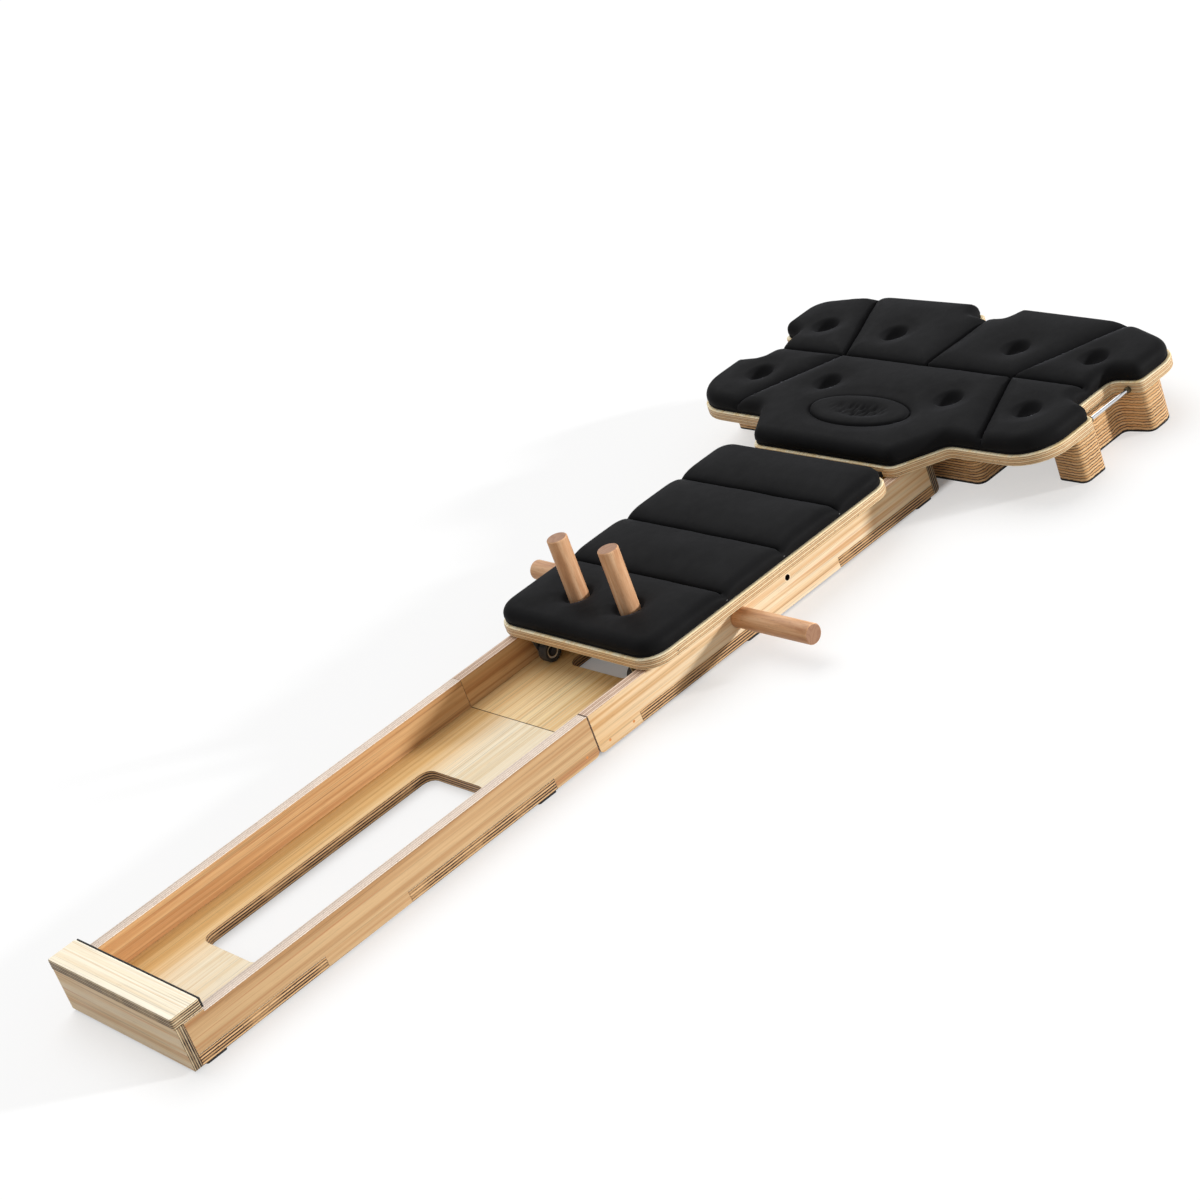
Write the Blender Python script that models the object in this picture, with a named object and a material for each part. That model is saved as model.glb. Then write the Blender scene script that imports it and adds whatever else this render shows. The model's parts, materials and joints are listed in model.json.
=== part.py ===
"""Sliding pilates board: folding plywood track, wheeled padded carriage and padded wing board on blocks.

The front of the track points to -X, the wing board lies at +X and Z is up. Lengths are in metres.
While a piece is drawn, X runs from the front end board's outer face and Z from the ground.
"""

import math

import bmesh
import bpy
from mathutils import Matrix, Vector
from mathutils.geometry import delaunay_2d_cdt

# Fits and edges
CLEARANCE = 0.0003
FOOT_HEIGHT = 0.003
EASED_EDGE = 0.0012

# Track
TRACK_WIDTH = 0.275
SECTION_LENGTH = 0.6525
PLY_THICKNESS = 0.018
WALL_HEIGHT = 0.057
FLOOR_THICKNESS = 0.015
END_BOARD_THICKNESS = 0.012
ROUNDED_FOOT_CORNER = 0.008
TAB_NEAR_START = 0.076
TAB_NEAR_LENGTH = {"front": 0.242, "back": 0.210}
TAB_FAR_FROM_END = 0.2025
CUTOUT_START = 0.1255
CUTOUT_FROM_END = 0.154
CUTOUT_WIDTH = 0.122
CUTOUT_CORNER = 0.015
WALL_HOLE_FROM_SEAM = 0.361
WALL_HOLE_HEIGHT = 0.039
WALL_HOLE_RADIUS = 0.004

# End cap and stops
CAP_RISE = 0.0033
CAP_THICKNESS = 0.015
CAP_DEPTH = 0.0426
CAP_OVERHANG = 0.0013
CAP_CORNER = 0.003
BUMPER_THICKNESS = 0.002
BUMPER_HEIGHT = 0.013
FRONT_BUMPER_INSET = 0.002
NECK_BUMPER_HEIGHT = 0.007
NECK_BUMPER_INSET = 0.019

# Fold hinges under the seam
HINGE_SPACING = TRACK_WIDTH - 0.115
HINGE_KNUCKLE = 0.018
HINGE_REACH = 0.030
HINGE_LEAF = 0.0012
HINGE_BARREL_RADIUS = 0.0028
HINGE_BORE_RADIUS = 0.0016
HINGE_PIN_RADIUS = 0.00125

# Feet
FOOT_LENGTH = 0.030
FOOT_WIDTH = 0.016
FOOT_CORNER = 0.003
FOOT_FROM_SEAM = {"front": 0.0925, "back": 0.2855}
FOOT_FROM_END = 0.0325

# Carriage
CARRIAGE_GAP = 0.0225
CARRIAGE_LENGTH = 0.460
CARRIAGE_OVERHANG = 0.022
CARRIAGE_UNDERSIDE = 0.0625
CARRIAGE_THICKNESS = 0.015
CARRIAGE_FRONT_CORNER = 0.035
CARRIAGE_BACK_CORNER = 0.030
CARRIAGE_PAD_HEIGHT = 0.0205
CARRIAGE_SEAMS = (0.144, 0.252, 0.359)

# Wheels
WHEEL_RADIUS = 0.015
WHEEL_WIDTH = 0.015
WHEEL_FROM_WALL = 0.0375
WHEEL_INSET = 0.0240
HUB_RADIUS = 0.0097
HUB_BOSS = 0.0007
AXLE_RADIUS = 0.003
AXLE_HEAD_RADIUS = 0.005
AXLE_HEAD_LENGTH = 0.0015
BRACKET_SHEET = 0.002
BRACKET_WIDTH = 0.032
BRACKET_FLANGE = 0.024
BRACKET_NOSE_RADIUS = 0.009

# Pegs and their sockets
PEG_RADIUS = 0.014
PEG_LENGTH = 0.155
PEG_CHAMFER = 0.0012
UPRIGHT_PEG_INSET = 0.0715
UPRIGHT_PEG_SPACING = 0.102
SOCKET_DEPTH = 0.032
SOCKET_FLOOR = 0.003
SOCKET_RADIUS = 0.021
SIDE_PEG_FROM_SEAM = 0.2675
SIDE_PEG_HEIGHT = 0.037

# Wing board: half outline as distance behind the neck's front edge, half span and corner radius
NECK_OVERLAP = 0.069
WING_THICKNESS = 0.015
WING_BACK = 0.4035
SHOULDER_SPAN = 0.3375
THROAT_SPAN = SHOULDER_SPAN - 0.157
BEND_SPAN = SHOULDER_SPAN - 0.1005
NOTCH_DEPTH = 0.040
NOTCH_FLOOR_SPAN = SHOULDER_SPAN - NOTCH_DEPTH
REAR_TIP_SPAN = SHOULDER_SPAN + 0.0035
REAR_SPAN = SHOULDER_SPAN + 0.005
NECK_CORNER = (0.0, 0.134, 0.018)
THROAT = (0.0665, THROAT_SPAN, 0.014)
FRONT_SHOULDER = (0.0685, SHOULDER_SPAN, 0.062)
FRONT_TIP = (0.182, SHOULDER_SPAN, 0.010)
NOTCH_FRONT = (0.196, NOTCH_FLOOR_SPAN, 0.012)
NOTCH_REAR = (0.271, NOTCH_FLOOR_SPAN, 0.010)
REAR_TIP = (0.279, REAR_TIP_SPAN, 0.010)
REAR_SHOULDER = (0.360, REAR_SPAN, 0.045)
REAR_BEND = (0.398, BEND_SPAN, 0.150)
BACK_NOTCH_MOUTH = (WING_BACK, 0.0415, 0.010)
BACK_NOTCH_FLOOR = (0.3725, 0.0295, 0.006)
WING_PAD_HEIGHT = 0.0225

# Pads
PAD_INSET = 0.0058
PAD_SIDE_HEIGHT = 0.007
PAD_DRAWN_IN = 0.0018
PAD_EDGE_ROUND = 0.020
PAD_SEAM_ROUND = 0.020
PAD_SEAM_DEPTH = 0.009
PAD_PIT_SPREAD = 0.020
PAD_PIT_DEPTH = 0.008
PAD_MESH_STEP = 0.030
PAD_POINT_GAP = 0.0064
PAD_EDGE_RINGS = (0.005, 0.014)
PAD_EDGE_SLACK = 0.9
PAD_PIT_SIDES = 16
PAD_PIT_RING = 0.012
PAD_PIT_ROOM = 0.018
PAD_SEAM_SHOULDER = 0.008
WING_SEAM_JOINT = (0.229, 0.160)
WING_SEAM_ENDS = ((0.384, BEND_SPAN), (0.227, NOTCH_FLOOR_SPAN), (0.050, 0.247))
OVAL_FROM_NECK = 0.090
OVAL_DEPTH = 0.038
OVAL_HALF_WIDTH = 0.091
OVAL_GROOVE = 0.003
WING_PIT_ROWS = (0.149, 0.293)
WING_PIT_FROM_SHOULDER = 0.0805
WING_PIT_SPANS = (0.117, SHOULDER_SPAN - WING_PIT_FROM_SHOULDER)

# Blocks under the wing board
LEG_FRONT = 0.139
LEG_BACK = 0.333
LEG_WIDTH = 0.0495
LEG_WAIST_WIDTH = 0.0415
BLOCK_FRONT = 0.099
BLOCK_DEPTH = 0.077
BLOCK_HALF_WIDTH = 0.188
BLOCK_CORNER = 0.012
SOLE_THICKNESS = 0.002
ROD_RADIUS = 0.00275
ROD_INSET = 0.0165
ROD_ABOVE_UNDERSIDE = 0.0052
ROD_SEAT_DEPTH = 0.008
ROD_NOTCH_FRONT = 0.188
ROD_NOTCH_REAR = 0.275

# How finely round shapes are cut
ARC_SAG = 0.0003
WIDEST_ARC_STEP = math.radians(22.5)

# Places worked out from the sizes above
FOOT_TOP = FOOT_HEIGHT - CLEARANCE
SEAM = SECTION_LENGTH
NECK_FRONT = 2 * SECTION_LENGTH - NECK_OVERLAP
CARRIAGE_FRONT = NECK_FRONT - CARRIAGE_GAP - CARRIAGE_LENGTH
HALF_TRACK = TRACK_WIDTH / 2
CARRIAGE_SPAN = HALF_TRACK + CARRIAGE_OVERHANG
WHEEL_INNER_FACE = HALF_TRACK - PLY_THICKNESS - WHEEL_FROM_WALL
WALL_TOP = FOOT_HEIGHT + WALL_HEIGHT
FLOOR_TOP = FOOT_HEIGHT + FLOOR_THICKNESS
CAP_UNDERSIDE = WALL_TOP + CAP_RISE
CAP_BACK = CAP_DEPTH - CAP_OVERHANG
HINGE_AXIS = Vector((SEAM, 0.0, FOOT_HEIGHT - CLEARANCE / 2))
PEG_HOLE_RADIUS = PEG_RADIUS + CLEARANCE
PAD_HOLE_RADIUS = PEG_HOLE_RADIUS / math.cos(math.pi / PAD_PIT_SIDES)
CARRIAGE_TOP = CARRIAGE_UNDERSIDE + CARRIAGE_THICKNESS
WHEEL_HEIGHT = FLOOR_TOP + CLEARANCE + WHEEL_RADIUS
UPRIGHT_PEG_X = CARRIAGE_FRONT + UPRIGHT_PEG_INSET
SIDE_PEG_X = SEAM + SIDE_PEG_FROM_SEAM
WING_UNDERSIDE = WALL_TOP + CLEARANCE
WING_TOP = WING_UNDERSIDE + WING_THICKNESS
LEG_INNER_SPAN = SHOULDER_SPAN - LEG_WIDTH
LEG_WAIST_SPAN = NOTCH_FLOOR_SPAN - LEG_WAIST_WIDTH
ROD_SPAN = SHOULDER_SPAN - ROD_INSET
X_CENTRE = (NECK_FRONT + WING_BACK - CAP_OVERHANG) / 2

# Colour, roughness and metallic value of each finish
PINE = ((0.78, 0.55, 0.32), 0.5, 0.0)
BIRCH = ((0.86, 0.70, 0.48), 0.5, 0.0)
BEECH = ((0.60, 0.36, 0.22), 0.5, 0.0)
BLACK_FABRIC = ((0.012, 0.012, 0.013), 0.85, 0.0)
BLACK_RUBBER = ((0.02, 0.02, 0.02), 0.7, 0.0)
GREY_TYRE = ((0.05, 0.05, 0.055), 0.6, 0.0)
PALE_PLASTIC = ((0.6, 0.6, 0.58), 0.4, 0.0)
STEEL = ((0.62, 0.62, 0.63), 0.3, 1.0)
DARK_STEEL = ((0.10, 0.10, 0.11), 0.4, 1.0)


# Scene and objects


def clear_scene():
    for item in list(bpy.data.objects):
        bpy.data.objects.remove(item, do_unlink=True)


def finish(name, colour, roughness, metallic):
    """A Principled material with the piece's own name."""
    made = bpy.data.materials.new(name)
    made.use_nodes = True
    shader = made.node_tree.nodes["Principled BSDF"]
    shader.inputs["Base Color"].default_value = (*colour, 1.0)
    shader.inputs["Roughness"].default_value = roughness
    shader.inputs["Metallic"].default_value = metallic
    return made


def add(name, shape, look, pivot=(0.0, 0.0, 0.0), smooth=False):
    """Turns a bmesh drawn in track coordinates into an object whose origin is the pivot."""
    bmesh.ops.recalc_face_normals(shape, faces=shape.faces)
    bmesh.ops.translate(shape, verts=shape.verts, vec=-Vector(pivot))
    mesh = bpy.data.meshes.new(name)
    shape.to_mesh(mesh)
    shape.free()
    if smooth:
        mesh.shade_smooth()
        mesh.set_sharp_from_angle(angle=math.radians(35))
    mesh.materials.append(finish(name, *look))
    made = bpy.data.objects.new(name, mesh)
    made.location = Vector(pivot) - Vector((X_CENTRE, 0.0, 0.0))
    bpy.context.scene.collection.objects.link(made)
    return made


def combine(target, shape, operation):
    """Cuts the shape from the target, or joins it on, and hides it from renders."""
    tool = add(f"{target.name}_tool", shape, DARK_STEEL)
    tool.hide_render = True
    tool.display_type = "WIRE"
    change = target.modifiers.new(operation.lower(), "BOOLEAN")
    change.operation = operation
    change.object = tool


# Outlines


def arc_steps(radius, sweep):
    widest = min(WIDEST_ARC_STEP, 2 * math.acos(max(0.0, 1 - ARC_SAG / radius)))
    return max(2, math.ceil(sweep / widest))


def rounded(corners):
    """The closed outline through corners (x, y, radius), each rounded by an arc that touches both sides."""
    outline = []
    for index, (x, y, radius) in enumerate(corners):
        here = Vector((x, y))
        before = (Vector(corners[index - 1][:2]) - here).normalized()
        after = (Vector(corners[(index + 1) % len(corners)][:2]) - here).normalized()
        if radius == 0:
            outline.append(here)
            continue
        half_angle = before.angle(after) / 2
        sweep = math.pi - 2 * half_angle
        middle = here + (before + after).normalized() * radius / math.sin(half_angle)
        spoke = here + before * radius / math.tan(half_angle) - middle
        turn = math.copysign(1.0, before.y * after.x - before.x * after.y)
        steps = arc_steps(radius, sweep)
        for step in range(steps + 1):
            outline.append(middle + Matrix.Rotation(turn * sweep * step / steps, 2) @ spoke)
    return outline


def rectangle(x_low, x_high, y_low, y_high, radius=0.0):
    corners = ((x_low, y_low), (x_high, y_low), (x_high, y_high), (x_low, y_high))
    return rounded([(x, y, radius) for x, y in corners])


def circle(x, y, radius, steps):
    turns = [2 * math.pi * step / steps for step in range(steps)]
    return [Vector((x + radius * math.cos(turn), y + radius * math.sin(turn))) for turn in turns]


def mirrored(half):
    """The whole outline of a half that is drawn on the +Y side."""
    return half + [(x, -y, radius) for x, y, radius in reversed(half)]


def inset(outline, distance):
    """The outline moved inwards, point by point, along the middle of the two sides' normals."""
    count = len(outline)
    area = sum(outline[i - 1].cross(outline[i]) for i in range(count))
    inward = math.copysign(distance, area)
    moved = []
    for index, here in enumerate(outline):
        before = (here - outline[index - 1]).normalized()
        after = (outline[(index + 1) % count] - here).normalized()
        normal = Vector((-before.y - after.y, before.x + after.x)).normalized()
        stretch = max(0.5, normal.dot(Vector((-before.y, before.x))))
        moved.append(here + normal * inward / stretch)
    return moved


def stepped(outline, step):
    """The closed outline with its long sides divided, so that no side is much longer than the step."""
    divided = []
    for index, here in enumerate(outline):
        after = outline[(index + 1) % len(outline)]
        parts = max(1, round((after - here).length / step))
        divided += [here.lerp(after, part / parts) for part in range(parts)]
    return divided


# Solids


def prism(outline, low, high, along="Z"):
    """The outline as a solid: in X and Y raised along Z, in X and Z along Y, or in Y and Z along X."""
    place = {
        "Z": lambda u, v, w: (u, v, w),
        "Y": lambda u, v, w: (u, w, v),
        "X": lambda u, v, w: (w, u, v),
    }[along]
    shape = bmesh.new()
    base = shape.faces.new([shape.verts.new(place(u, v, low)) for u, v in outline])
    raised = bmesh.ops.extrude_face_region(shape, geom=[base])["geom"]
    corners = [item for item in raised if isinstance(item, bmesh.types.BMVert)]
    bmesh.ops.translate(shape, verts=corners, vec=place(0.0, 0.0, high - low))
    return shape


def board(outline, low, high):
    """A flat board whose top and bottom edges are eased by a narrow slope."""
    slim = inset(outline, EASED_EDGE)
    levels = ((slim, low), (outline, low + EASED_EDGE), (outline, high - EASED_EDGE), (slim, high))
    shape = bmesh.new()
    rings = [[shape.verts.new((*point, level)) for point in points] for points, level in levels]
    for lower, upper in zip(rings, rings[1:]):
        for index in range(len(outline)):
            shape.faces.new((lower[index - 1], lower[index], upper[index], upper[index - 1]))
    shape.faces.new(rings[0])
    shape.faces.new(rings[-1])
    return shape


def turned(profile, steps, centre, axis="Z", ring=False):
    """Turns a profile of (radius, height) round the axis, closed as a ring or with its ends filled."""
    shape = bmesh.new()
    corners = [shape.verts.new((radius, 0.0, height)) for radius, height in profile]
    edges = [shape.edges.new(pair) for pair in zip(corners, corners[1:])]
    if ring:
        edges.append(shape.edges.new((corners[-1], corners[0])))
    bmesh.ops.spin(
        shape,
        geom=corners + edges,
        cent=(0.0, 0.0, 0.0),
        axis=(0.0, 0.0, 1.0),
        angle=2 * math.pi,
        steps=steps,
    )
    bmesh.ops.remove_doubles(shape, verts=shape.verts, dist=0.000001)
    bmesh.ops.holes_fill(shape, edges=shape.edges)
    turns = {
        "Z": Matrix.Identity(4),
        "Y": Matrix.Rotation(math.radians(-90), 4, "X"),
        "X": Matrix.Rotation(math.radians(90), 4, "Y"),
    }
    bmesh.ops.transform(shape, verts=shape.verts, matrix=Matrix.Translation(centre) @ turns[axis])
    return shape


def cylinder(radius, low, high, centre, axis="Z", steps=24):
    """A round bar from low to high along the axis, measured from the centre."""
    return turned([(radius, low), (radius, high)], steps, centre, axis)


# Cushions


def segment_distance(point, start, end):
    along = end - start
    share = max(0.0, min(1.0, (point - start).dot(along) / along.length_squared))
    return (point - start - share * along).length


def path_distance(point, paths):
    return min(segment_distance(point, a, b) for path in paths for a, b in zip(path, path[1:]))


def swell(share):
    """Rises from 0 to 1 as a quarter circle."""
    return math.sqrt(1 - (1 - min(1.0, share)) ** 2)


def ease(share):
    """Rises from 0 to 1 with a level start and end."""
    share = max(0.0, min(1.0, share))
    return share * share * (3 - 2 * share)


def inside(point, outline):
    """Whether a point lies in a closed outline."""
    crossings = 0
    for index, end in enumerate(outline):
        start = outline[index - 1]
        if (start.y > point.y) != (end.y > point.y):
            reach = start.x + (point.y - start.y) / (end.y - start.y) * (end.x - start.x)
            crossings += reach > point.x
    return crossings % 2 == 1


def seam_points(seams, outline, edge):
    """Points along each seam and on both of its shoulders, with the seams' own edges."""
    valley = []
    joined = []
    shoulders = []
    for start, end in seams:
        parts = round((end - start).length / PAD_MESH_STEP)
        points = [start.lerp(end, part / parts) for part in range(parts + 1)]
        points = [point for point in points if inside(point, outline)]
        points = [point for point in points if path_distance(point, [edge]) > PAD_EDGE_RINGS[0] / 2]
        places = []
        for point in points:
            same = [place for place, other in enumerate(valley) if (point - other).length < CLEARANCE]
            places.append(same[0] if same else len(valley))
            if not same:
                valley.append(point)
        joined += list(zip(places, places[1:]))
        side = (end - start).normalized() * PAD_SEAM_SHOULDER
        side = Vector((-side.y, side.x))
        for a, b in zip(points, points[1:]):
            shoulders += [a.lerp(b, 0.5) + side, a.lerp(b, 0.5) - side]
    return valley, joined, shoulders


def cushion(name, outline, seams, oval, pits, base, thickness, pivot):
    """A pad with a crowned top, drawn-in sides, sunk seams, an oval groove and round pits that open below."""
    outline = stepped(outline, PAD_MESH_STEP)
    edge = outline + outline[:1]
    groove = oval + oval[:1] if oval else []

    def height(point):
        rise = swell(path_distance(point, [edge]) / PAD_EDGE_ROUND)
        level = base + PAD_SIDE_HEIGHT + (thickness - PAD_SIDE_HEIGHT) * rise
        if seams:
            level -= PAD_SEAM_DEPTH * rise * (1 - swell(path_distance(point, seams) / PAD_SEAM_ROUND))
        if groove:
            level -= OVAL_GROOVE * (1 - ease(path_distance(point, [groove]) / PAD_SEAM_SHOULDER))
        for pit in pits:
            spread = ((point - pit).length - PAD_HOLE_RADIUS) / PAD_PIT_SPREAD
            level -= PAD_PIT_DEPTH * (1 - ease(spread))
        return max(level, base + PAD_SIDE_HEIGHT / 2)

    def clear_of_pits(point, reach):
        return all((point - pit).length > reach for pit in pits)

    loops = [outline] + [circle(*pit, PAD_HOLE_RADIUS, PAD_PIT_SIDES) for pit in pits]
    points = [point for loop in loops for point in loop]
    middle = sum(outline, Vector((0.0, 0.0))) / len(outline)
    columns = math.ceil(max((point - middle).length for point in outline) / PAD_MESH_STEP)
    bounds = []
    start = 0
    for loop in loops:
        bounds.append(list(range(start, start + len(loop))))
        start += len(loop)
    sides = [pair for bound in bounds for pair in zip(bound, bound[1:] + bound[:1])]
    valley, joined, shoulders = seam_points(seams, outline, edge)
    edges = sides + [(start + a, start + b) for a, b in joined]
    points += valley
    if oval:
        edges += [(len(points) + k, len(points) + (k + 1) % len(oval)) for k in range(len(oval))]
        points += oval
    for pit in pits:
        points += circle(*pit, PAD_HOLE_RADIUS + PAD_PIT_RING, PAD_PIT_SIDES)
    loose = [(point, PAD_SEAM_SHOULDER) for point in shoulders]
    loose += [(point, ring * PAD_EDGE_SLACK) for ring in PAD_EDGE_RINGS for point in inset(outline, ring)]
    for i in range(-columns, columns + 1):
        for k in range(-columns, columns + 1):
            loose.append((middle + Vector((i + k % 2 / 2, k)) * PAD_MESH_STEP, PAD_EDGE_RINGS[1]))
    kept = []
    for point, room in loose:
        if not inside(point, outline) or path_distance(point, [edge]) < room:
            continue
        if not clear_of_pits(point, PAD_HOLE_RADIUS + PAD_PIT_ROOM):
            continue
        if all((point - other).length > PAD_POINT_GAP for other in points + kept):
            kept.append(point)
    points += kept

    def surface(flat_points, flat_edges, levels):
        """The triangles between the outline and the pits, with each point at its own level."""
        flat, _, faces, _, _, _ = delaunay_2d_cdt(flat_points, flat_edges, [bounds[0]], 1, 0.00001, True)
        corners = [shape.verts.new((*point, level)) for point, level in zip(flat, levels)]
        rim = flat[:len(outline)]
        for face in faces:
            a, b, c = (flat[k] for k in face)
            middle = (a + b + c) / 3
            thin = abs((b - a).cross(c - a)) < CLEARANCE**2 / 5
            if not thin and inside(middle, rim) and clear_of_pits(middle, PEG_RADIUS):
                shape.faces.new([corners[k] for k in face])
        return corners

    shape = bmesh.new()
    brim = base + PAD_SIDE_HEIGHT
    levels = [brim] * len(outline) + [height(point) for point in points[len(outline):]]
    lifted = surface(points, edges, levels)
    under = inset(outline, PAD_DRAWN_IN) + points[len(outline):start]
    lowered = surface(under, sides, [base] * start)
    for a, b in sides:
        shape.faces.new((lifted[a], lifted[b], lowered[b], lowered[a]))
    loose_verts = [vert for vert in shape.verts if not vert.link_faces]
    bmesh.ops.delete(shape, geom=loose_verts, context="VERTS")
    return add(name, shape, BLACK_FABRIC, pivot, smooth=True)


# Track


def from_seam(side, distance):
    """X of a place on one track section, from its distance to the seam."""
    return SEAM + (distance if side == "back" else -distance)


def placed(side, corners):
    return [(from_seam(side, distance), other, radius) for distance, other, radius in corners]


def section_pivot(side):
    return tuple(HINGE_AXIS) if side == "front" else (0.0, 0.0, 0.0)


def section_end():
    """Where the walls and the floor meet the end board, from the seam."""
    return SECTION_LENGTH - END_BOARD_THICKNESS - CLEARANCE


def tabs(side):
    near = TAB_NEAR_START
    return (near, near + TAB_NEAR_LENGTH[side]), (SECTION_LENGTH - TAB_FAR_FROM_END, section_end())


def wall(side, hand):
    """A side wall with notches for the floor's tabs and a rounded bottom corner at the seam."""
    (near_start, near_end), (far_start, far_end) = tabs(side)
    notch_top = FLOOR_TOP + CLEARANCE
    corners = [
        (CLEARANCE / 2, FOOT_HEIGHT, ROUNDED_FOOT_CORNER),
        (near_start - CLEARANCE, FOOT_HEIGHT, 0),
        (near_start - CLEARANCE, notch_top, 0),
        (near_end + CLEARANCE, notch_top, 0),
        (near_end + CLEARANCE, FOOT_HEIGHT, 0),
        (far_start - CLEARANCE, FOOT_HEIGHT, 0),
        (far_start - CLEARANCE, notch_top, 0),
        (far_end, notch_top, 0),
    ]
    if side == "front":
        step = SEAM - CAP_BACK
        corners += [(far_end, CAP_UNDERSIDE - CLEARANCE, 0), (step, CAP_UNDERSIDE - CLEARANCE, 0)]
        corners += [(step, WALL_TOP, 0)]
    else:
        corners += [(far_end, WALL_TOP, 0)]
    corners += [(CLEARANCE / 2, WALL_TOP, 0)]
    outer = HALF_TRACK * hand
    inner = (HALF_TRACK - PLY_THICKNESS) * hand
    name = f"wall_{side}_{'left' if hand > 0 else 'right'}"
    shape = prism(rounded(placed(side, corners)), min(outer, inner), max(outer, inner), "Y")
    made = add(name, shape, PINE, section_pivot(side))
    if side == "back":
        reach = (HALF_TRACK - 2 * PLY_THICKNESS, HALF_TRACK + PLY_THICKNESS)
        low, high = sorted(hand * value for value in reach)
        peg = Vector((SIDE_PEG_X, 0.0, FOOT_HEIGHT + SIDE_PEG_HEIGHT))
        combine(made, cylinder(PEG_HOLE_RADIUS, low, high, peg, "Y", 32), "DIFFERENCE")
        hole = Vector((SEAM + WALL_HOLE_FROM_SEAM, 0.0, FOOT_HEIGHT + WALL_HOLE_HEIGHT))
        combine(made, cylinder(WALL_HOLE_RADIUS, low, high, hole, "Y", 20), "DIFFERENCE")


def floor(side):
    """A floor board whose tabs reach through the walls, with a long cut-out and seats for the hinges."""
    (near_start, near_end), (far_start, far_end) = tabs(side)
    inner = HALF_TRACK - PLY_THICKNESS - CLEARANCE
    half = [
        (CLEARANCE / 2, inner, 0),
        (near_start, inner, 0),
        (near_start, HALF_TRACK, 0),
        (near_end, HALF_TRACK, 0),
        (near_end, inner, 0),
        (far_start, inner, 0),
        (far_start, HALF_TRACK, 0),
        (far_end, HALF_TRACK, 0),
    ]
    outline = rounded(placed(side, mirrored(half)))
    made = add(f"floor_{side}", prism(outline, FOOT_HEIGHT, FLOOR_TOP), BIRCH, section_pivot(side))
    ends = sorted(from_seam(side, distance) for distance in (CUTOUT_START, SECTION_LENGTH - CUTOUT_FROM_END))
    opening = rectangle(*ends, -CUTOUT_WIDTH / 2, CUTOUT_WIDTH / 2, CUTOUT_CORNER)
    combine(made, prism(opening, -FLOOR_TOP, 2 * FLOOR_TOP), "DIFFERENCE")
    for hand in (-1, 1):
        middle = hand * HINGE_SPACING / 2
        half_width = hinge_width() / 2 + CLEARANCE
        leaf_seat = (HINGE_REACH + CLEARANCE, FOOT_HEIGHT + HINGE_LEAF + CLEARANCE)
        barrel_seat = (HINGE_BARREL_RADIUS + CLEARANCE, HINGE_AXIS.z + HINGE_BARREL_RADIUS + CLEARANCE)
        for reach, depth in (leaf_seat, barrel_seat):
            ends = sorted(from_seam(side, distance) for distance in (-CLEARANCE, reach))
            seat = rectangle(*ends, middle - half_width, middle + half_width)
            combine(made, prism(seat, -FLOOR_TOP, depth), "DIFFERENCE")


def end_board(side):
    """The board across the ends of the walls. The far one has a rounded bottom corner."""
    top = CAP_UNDERSIDE - CLEARANCE if side == "front" else WALL_TOP
    corner = 0 if side == "front" else ROUNDED_FOOT_CORNER
    inner = SECTION_LENGTH - END_BOARD_THICKNESS
    corners = [
        (inner, FOOT_HEIGHT, 0),
        (SECTION_LENGTH, FOOT_HEIGHT, corner),
        (SECTION_LENGTH, top, 0),
        (inner, top, 0),
    ]
    shape = prism(rounded(placed(side, corners)), -HALF_TRACK, HALF_TRACK, "Y")
    add(f"end_board_{side}", shape, PINE, section_pivot(side))


def end_cap():
    """The thick plate that the user's carriage stops against, with its rubber strip."""
    top = CAP_UNDERSIDE + CAP_THICKNESS
    plate = rectangle(-CAP_OVERHANG, CAP_BACK, -HALF_TRACK, HALF_TRACK, CAP_CORNER)
    add("end_cap", board(plate, CAP_UNDERSIDE, top), BIRCH, section_pivot("front"))
    face = CAP_BACK + CLEARANCE
    half = HALF_TRACK - FRONT_BUMPER_INSET
    strip = rectangle(face, face + BUMPER_THICKNESS, -half, half)
    low = CAP_UNDERSIDE + (CAP_THICKNESS - BUMPER_HEIGHT) / 2
    add("bumper_front", prism(strip, low, low + BUMPER_HEIGHT), BLACK_RUBBER, section_pivot("front"))


def feet(side):
    for where, place in (("seam", FOOT_FROM_SEAM[side]), ("end", SECTION_LENGTH - FOOT_FROM_END)):
        x = from_seam(side, place)
        for hand, word in ((1, "left"), (-1, "right")):
            y = hand * (HALF_TRACK - PLY_THICKNESS / 2)
            corners = (x - FOOT_LENGTH / 2, x + FOOT_LENGTH / 2, y - FOOT_WIDTH / 2, y + FOOT_WIDTH / 2)
            shape = prism(rectangle(*corners, FOOT_CORNER), 0.0, FOOT_TOP)
            add(f"foot_{side}_{where}_{word}", shape, BLACK_RUBBER, section_pivot(side))


# Hinges


def hinge_width():
    return 3 * HINGE_KNUCKLE + 2 * CLEARANCE


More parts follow.
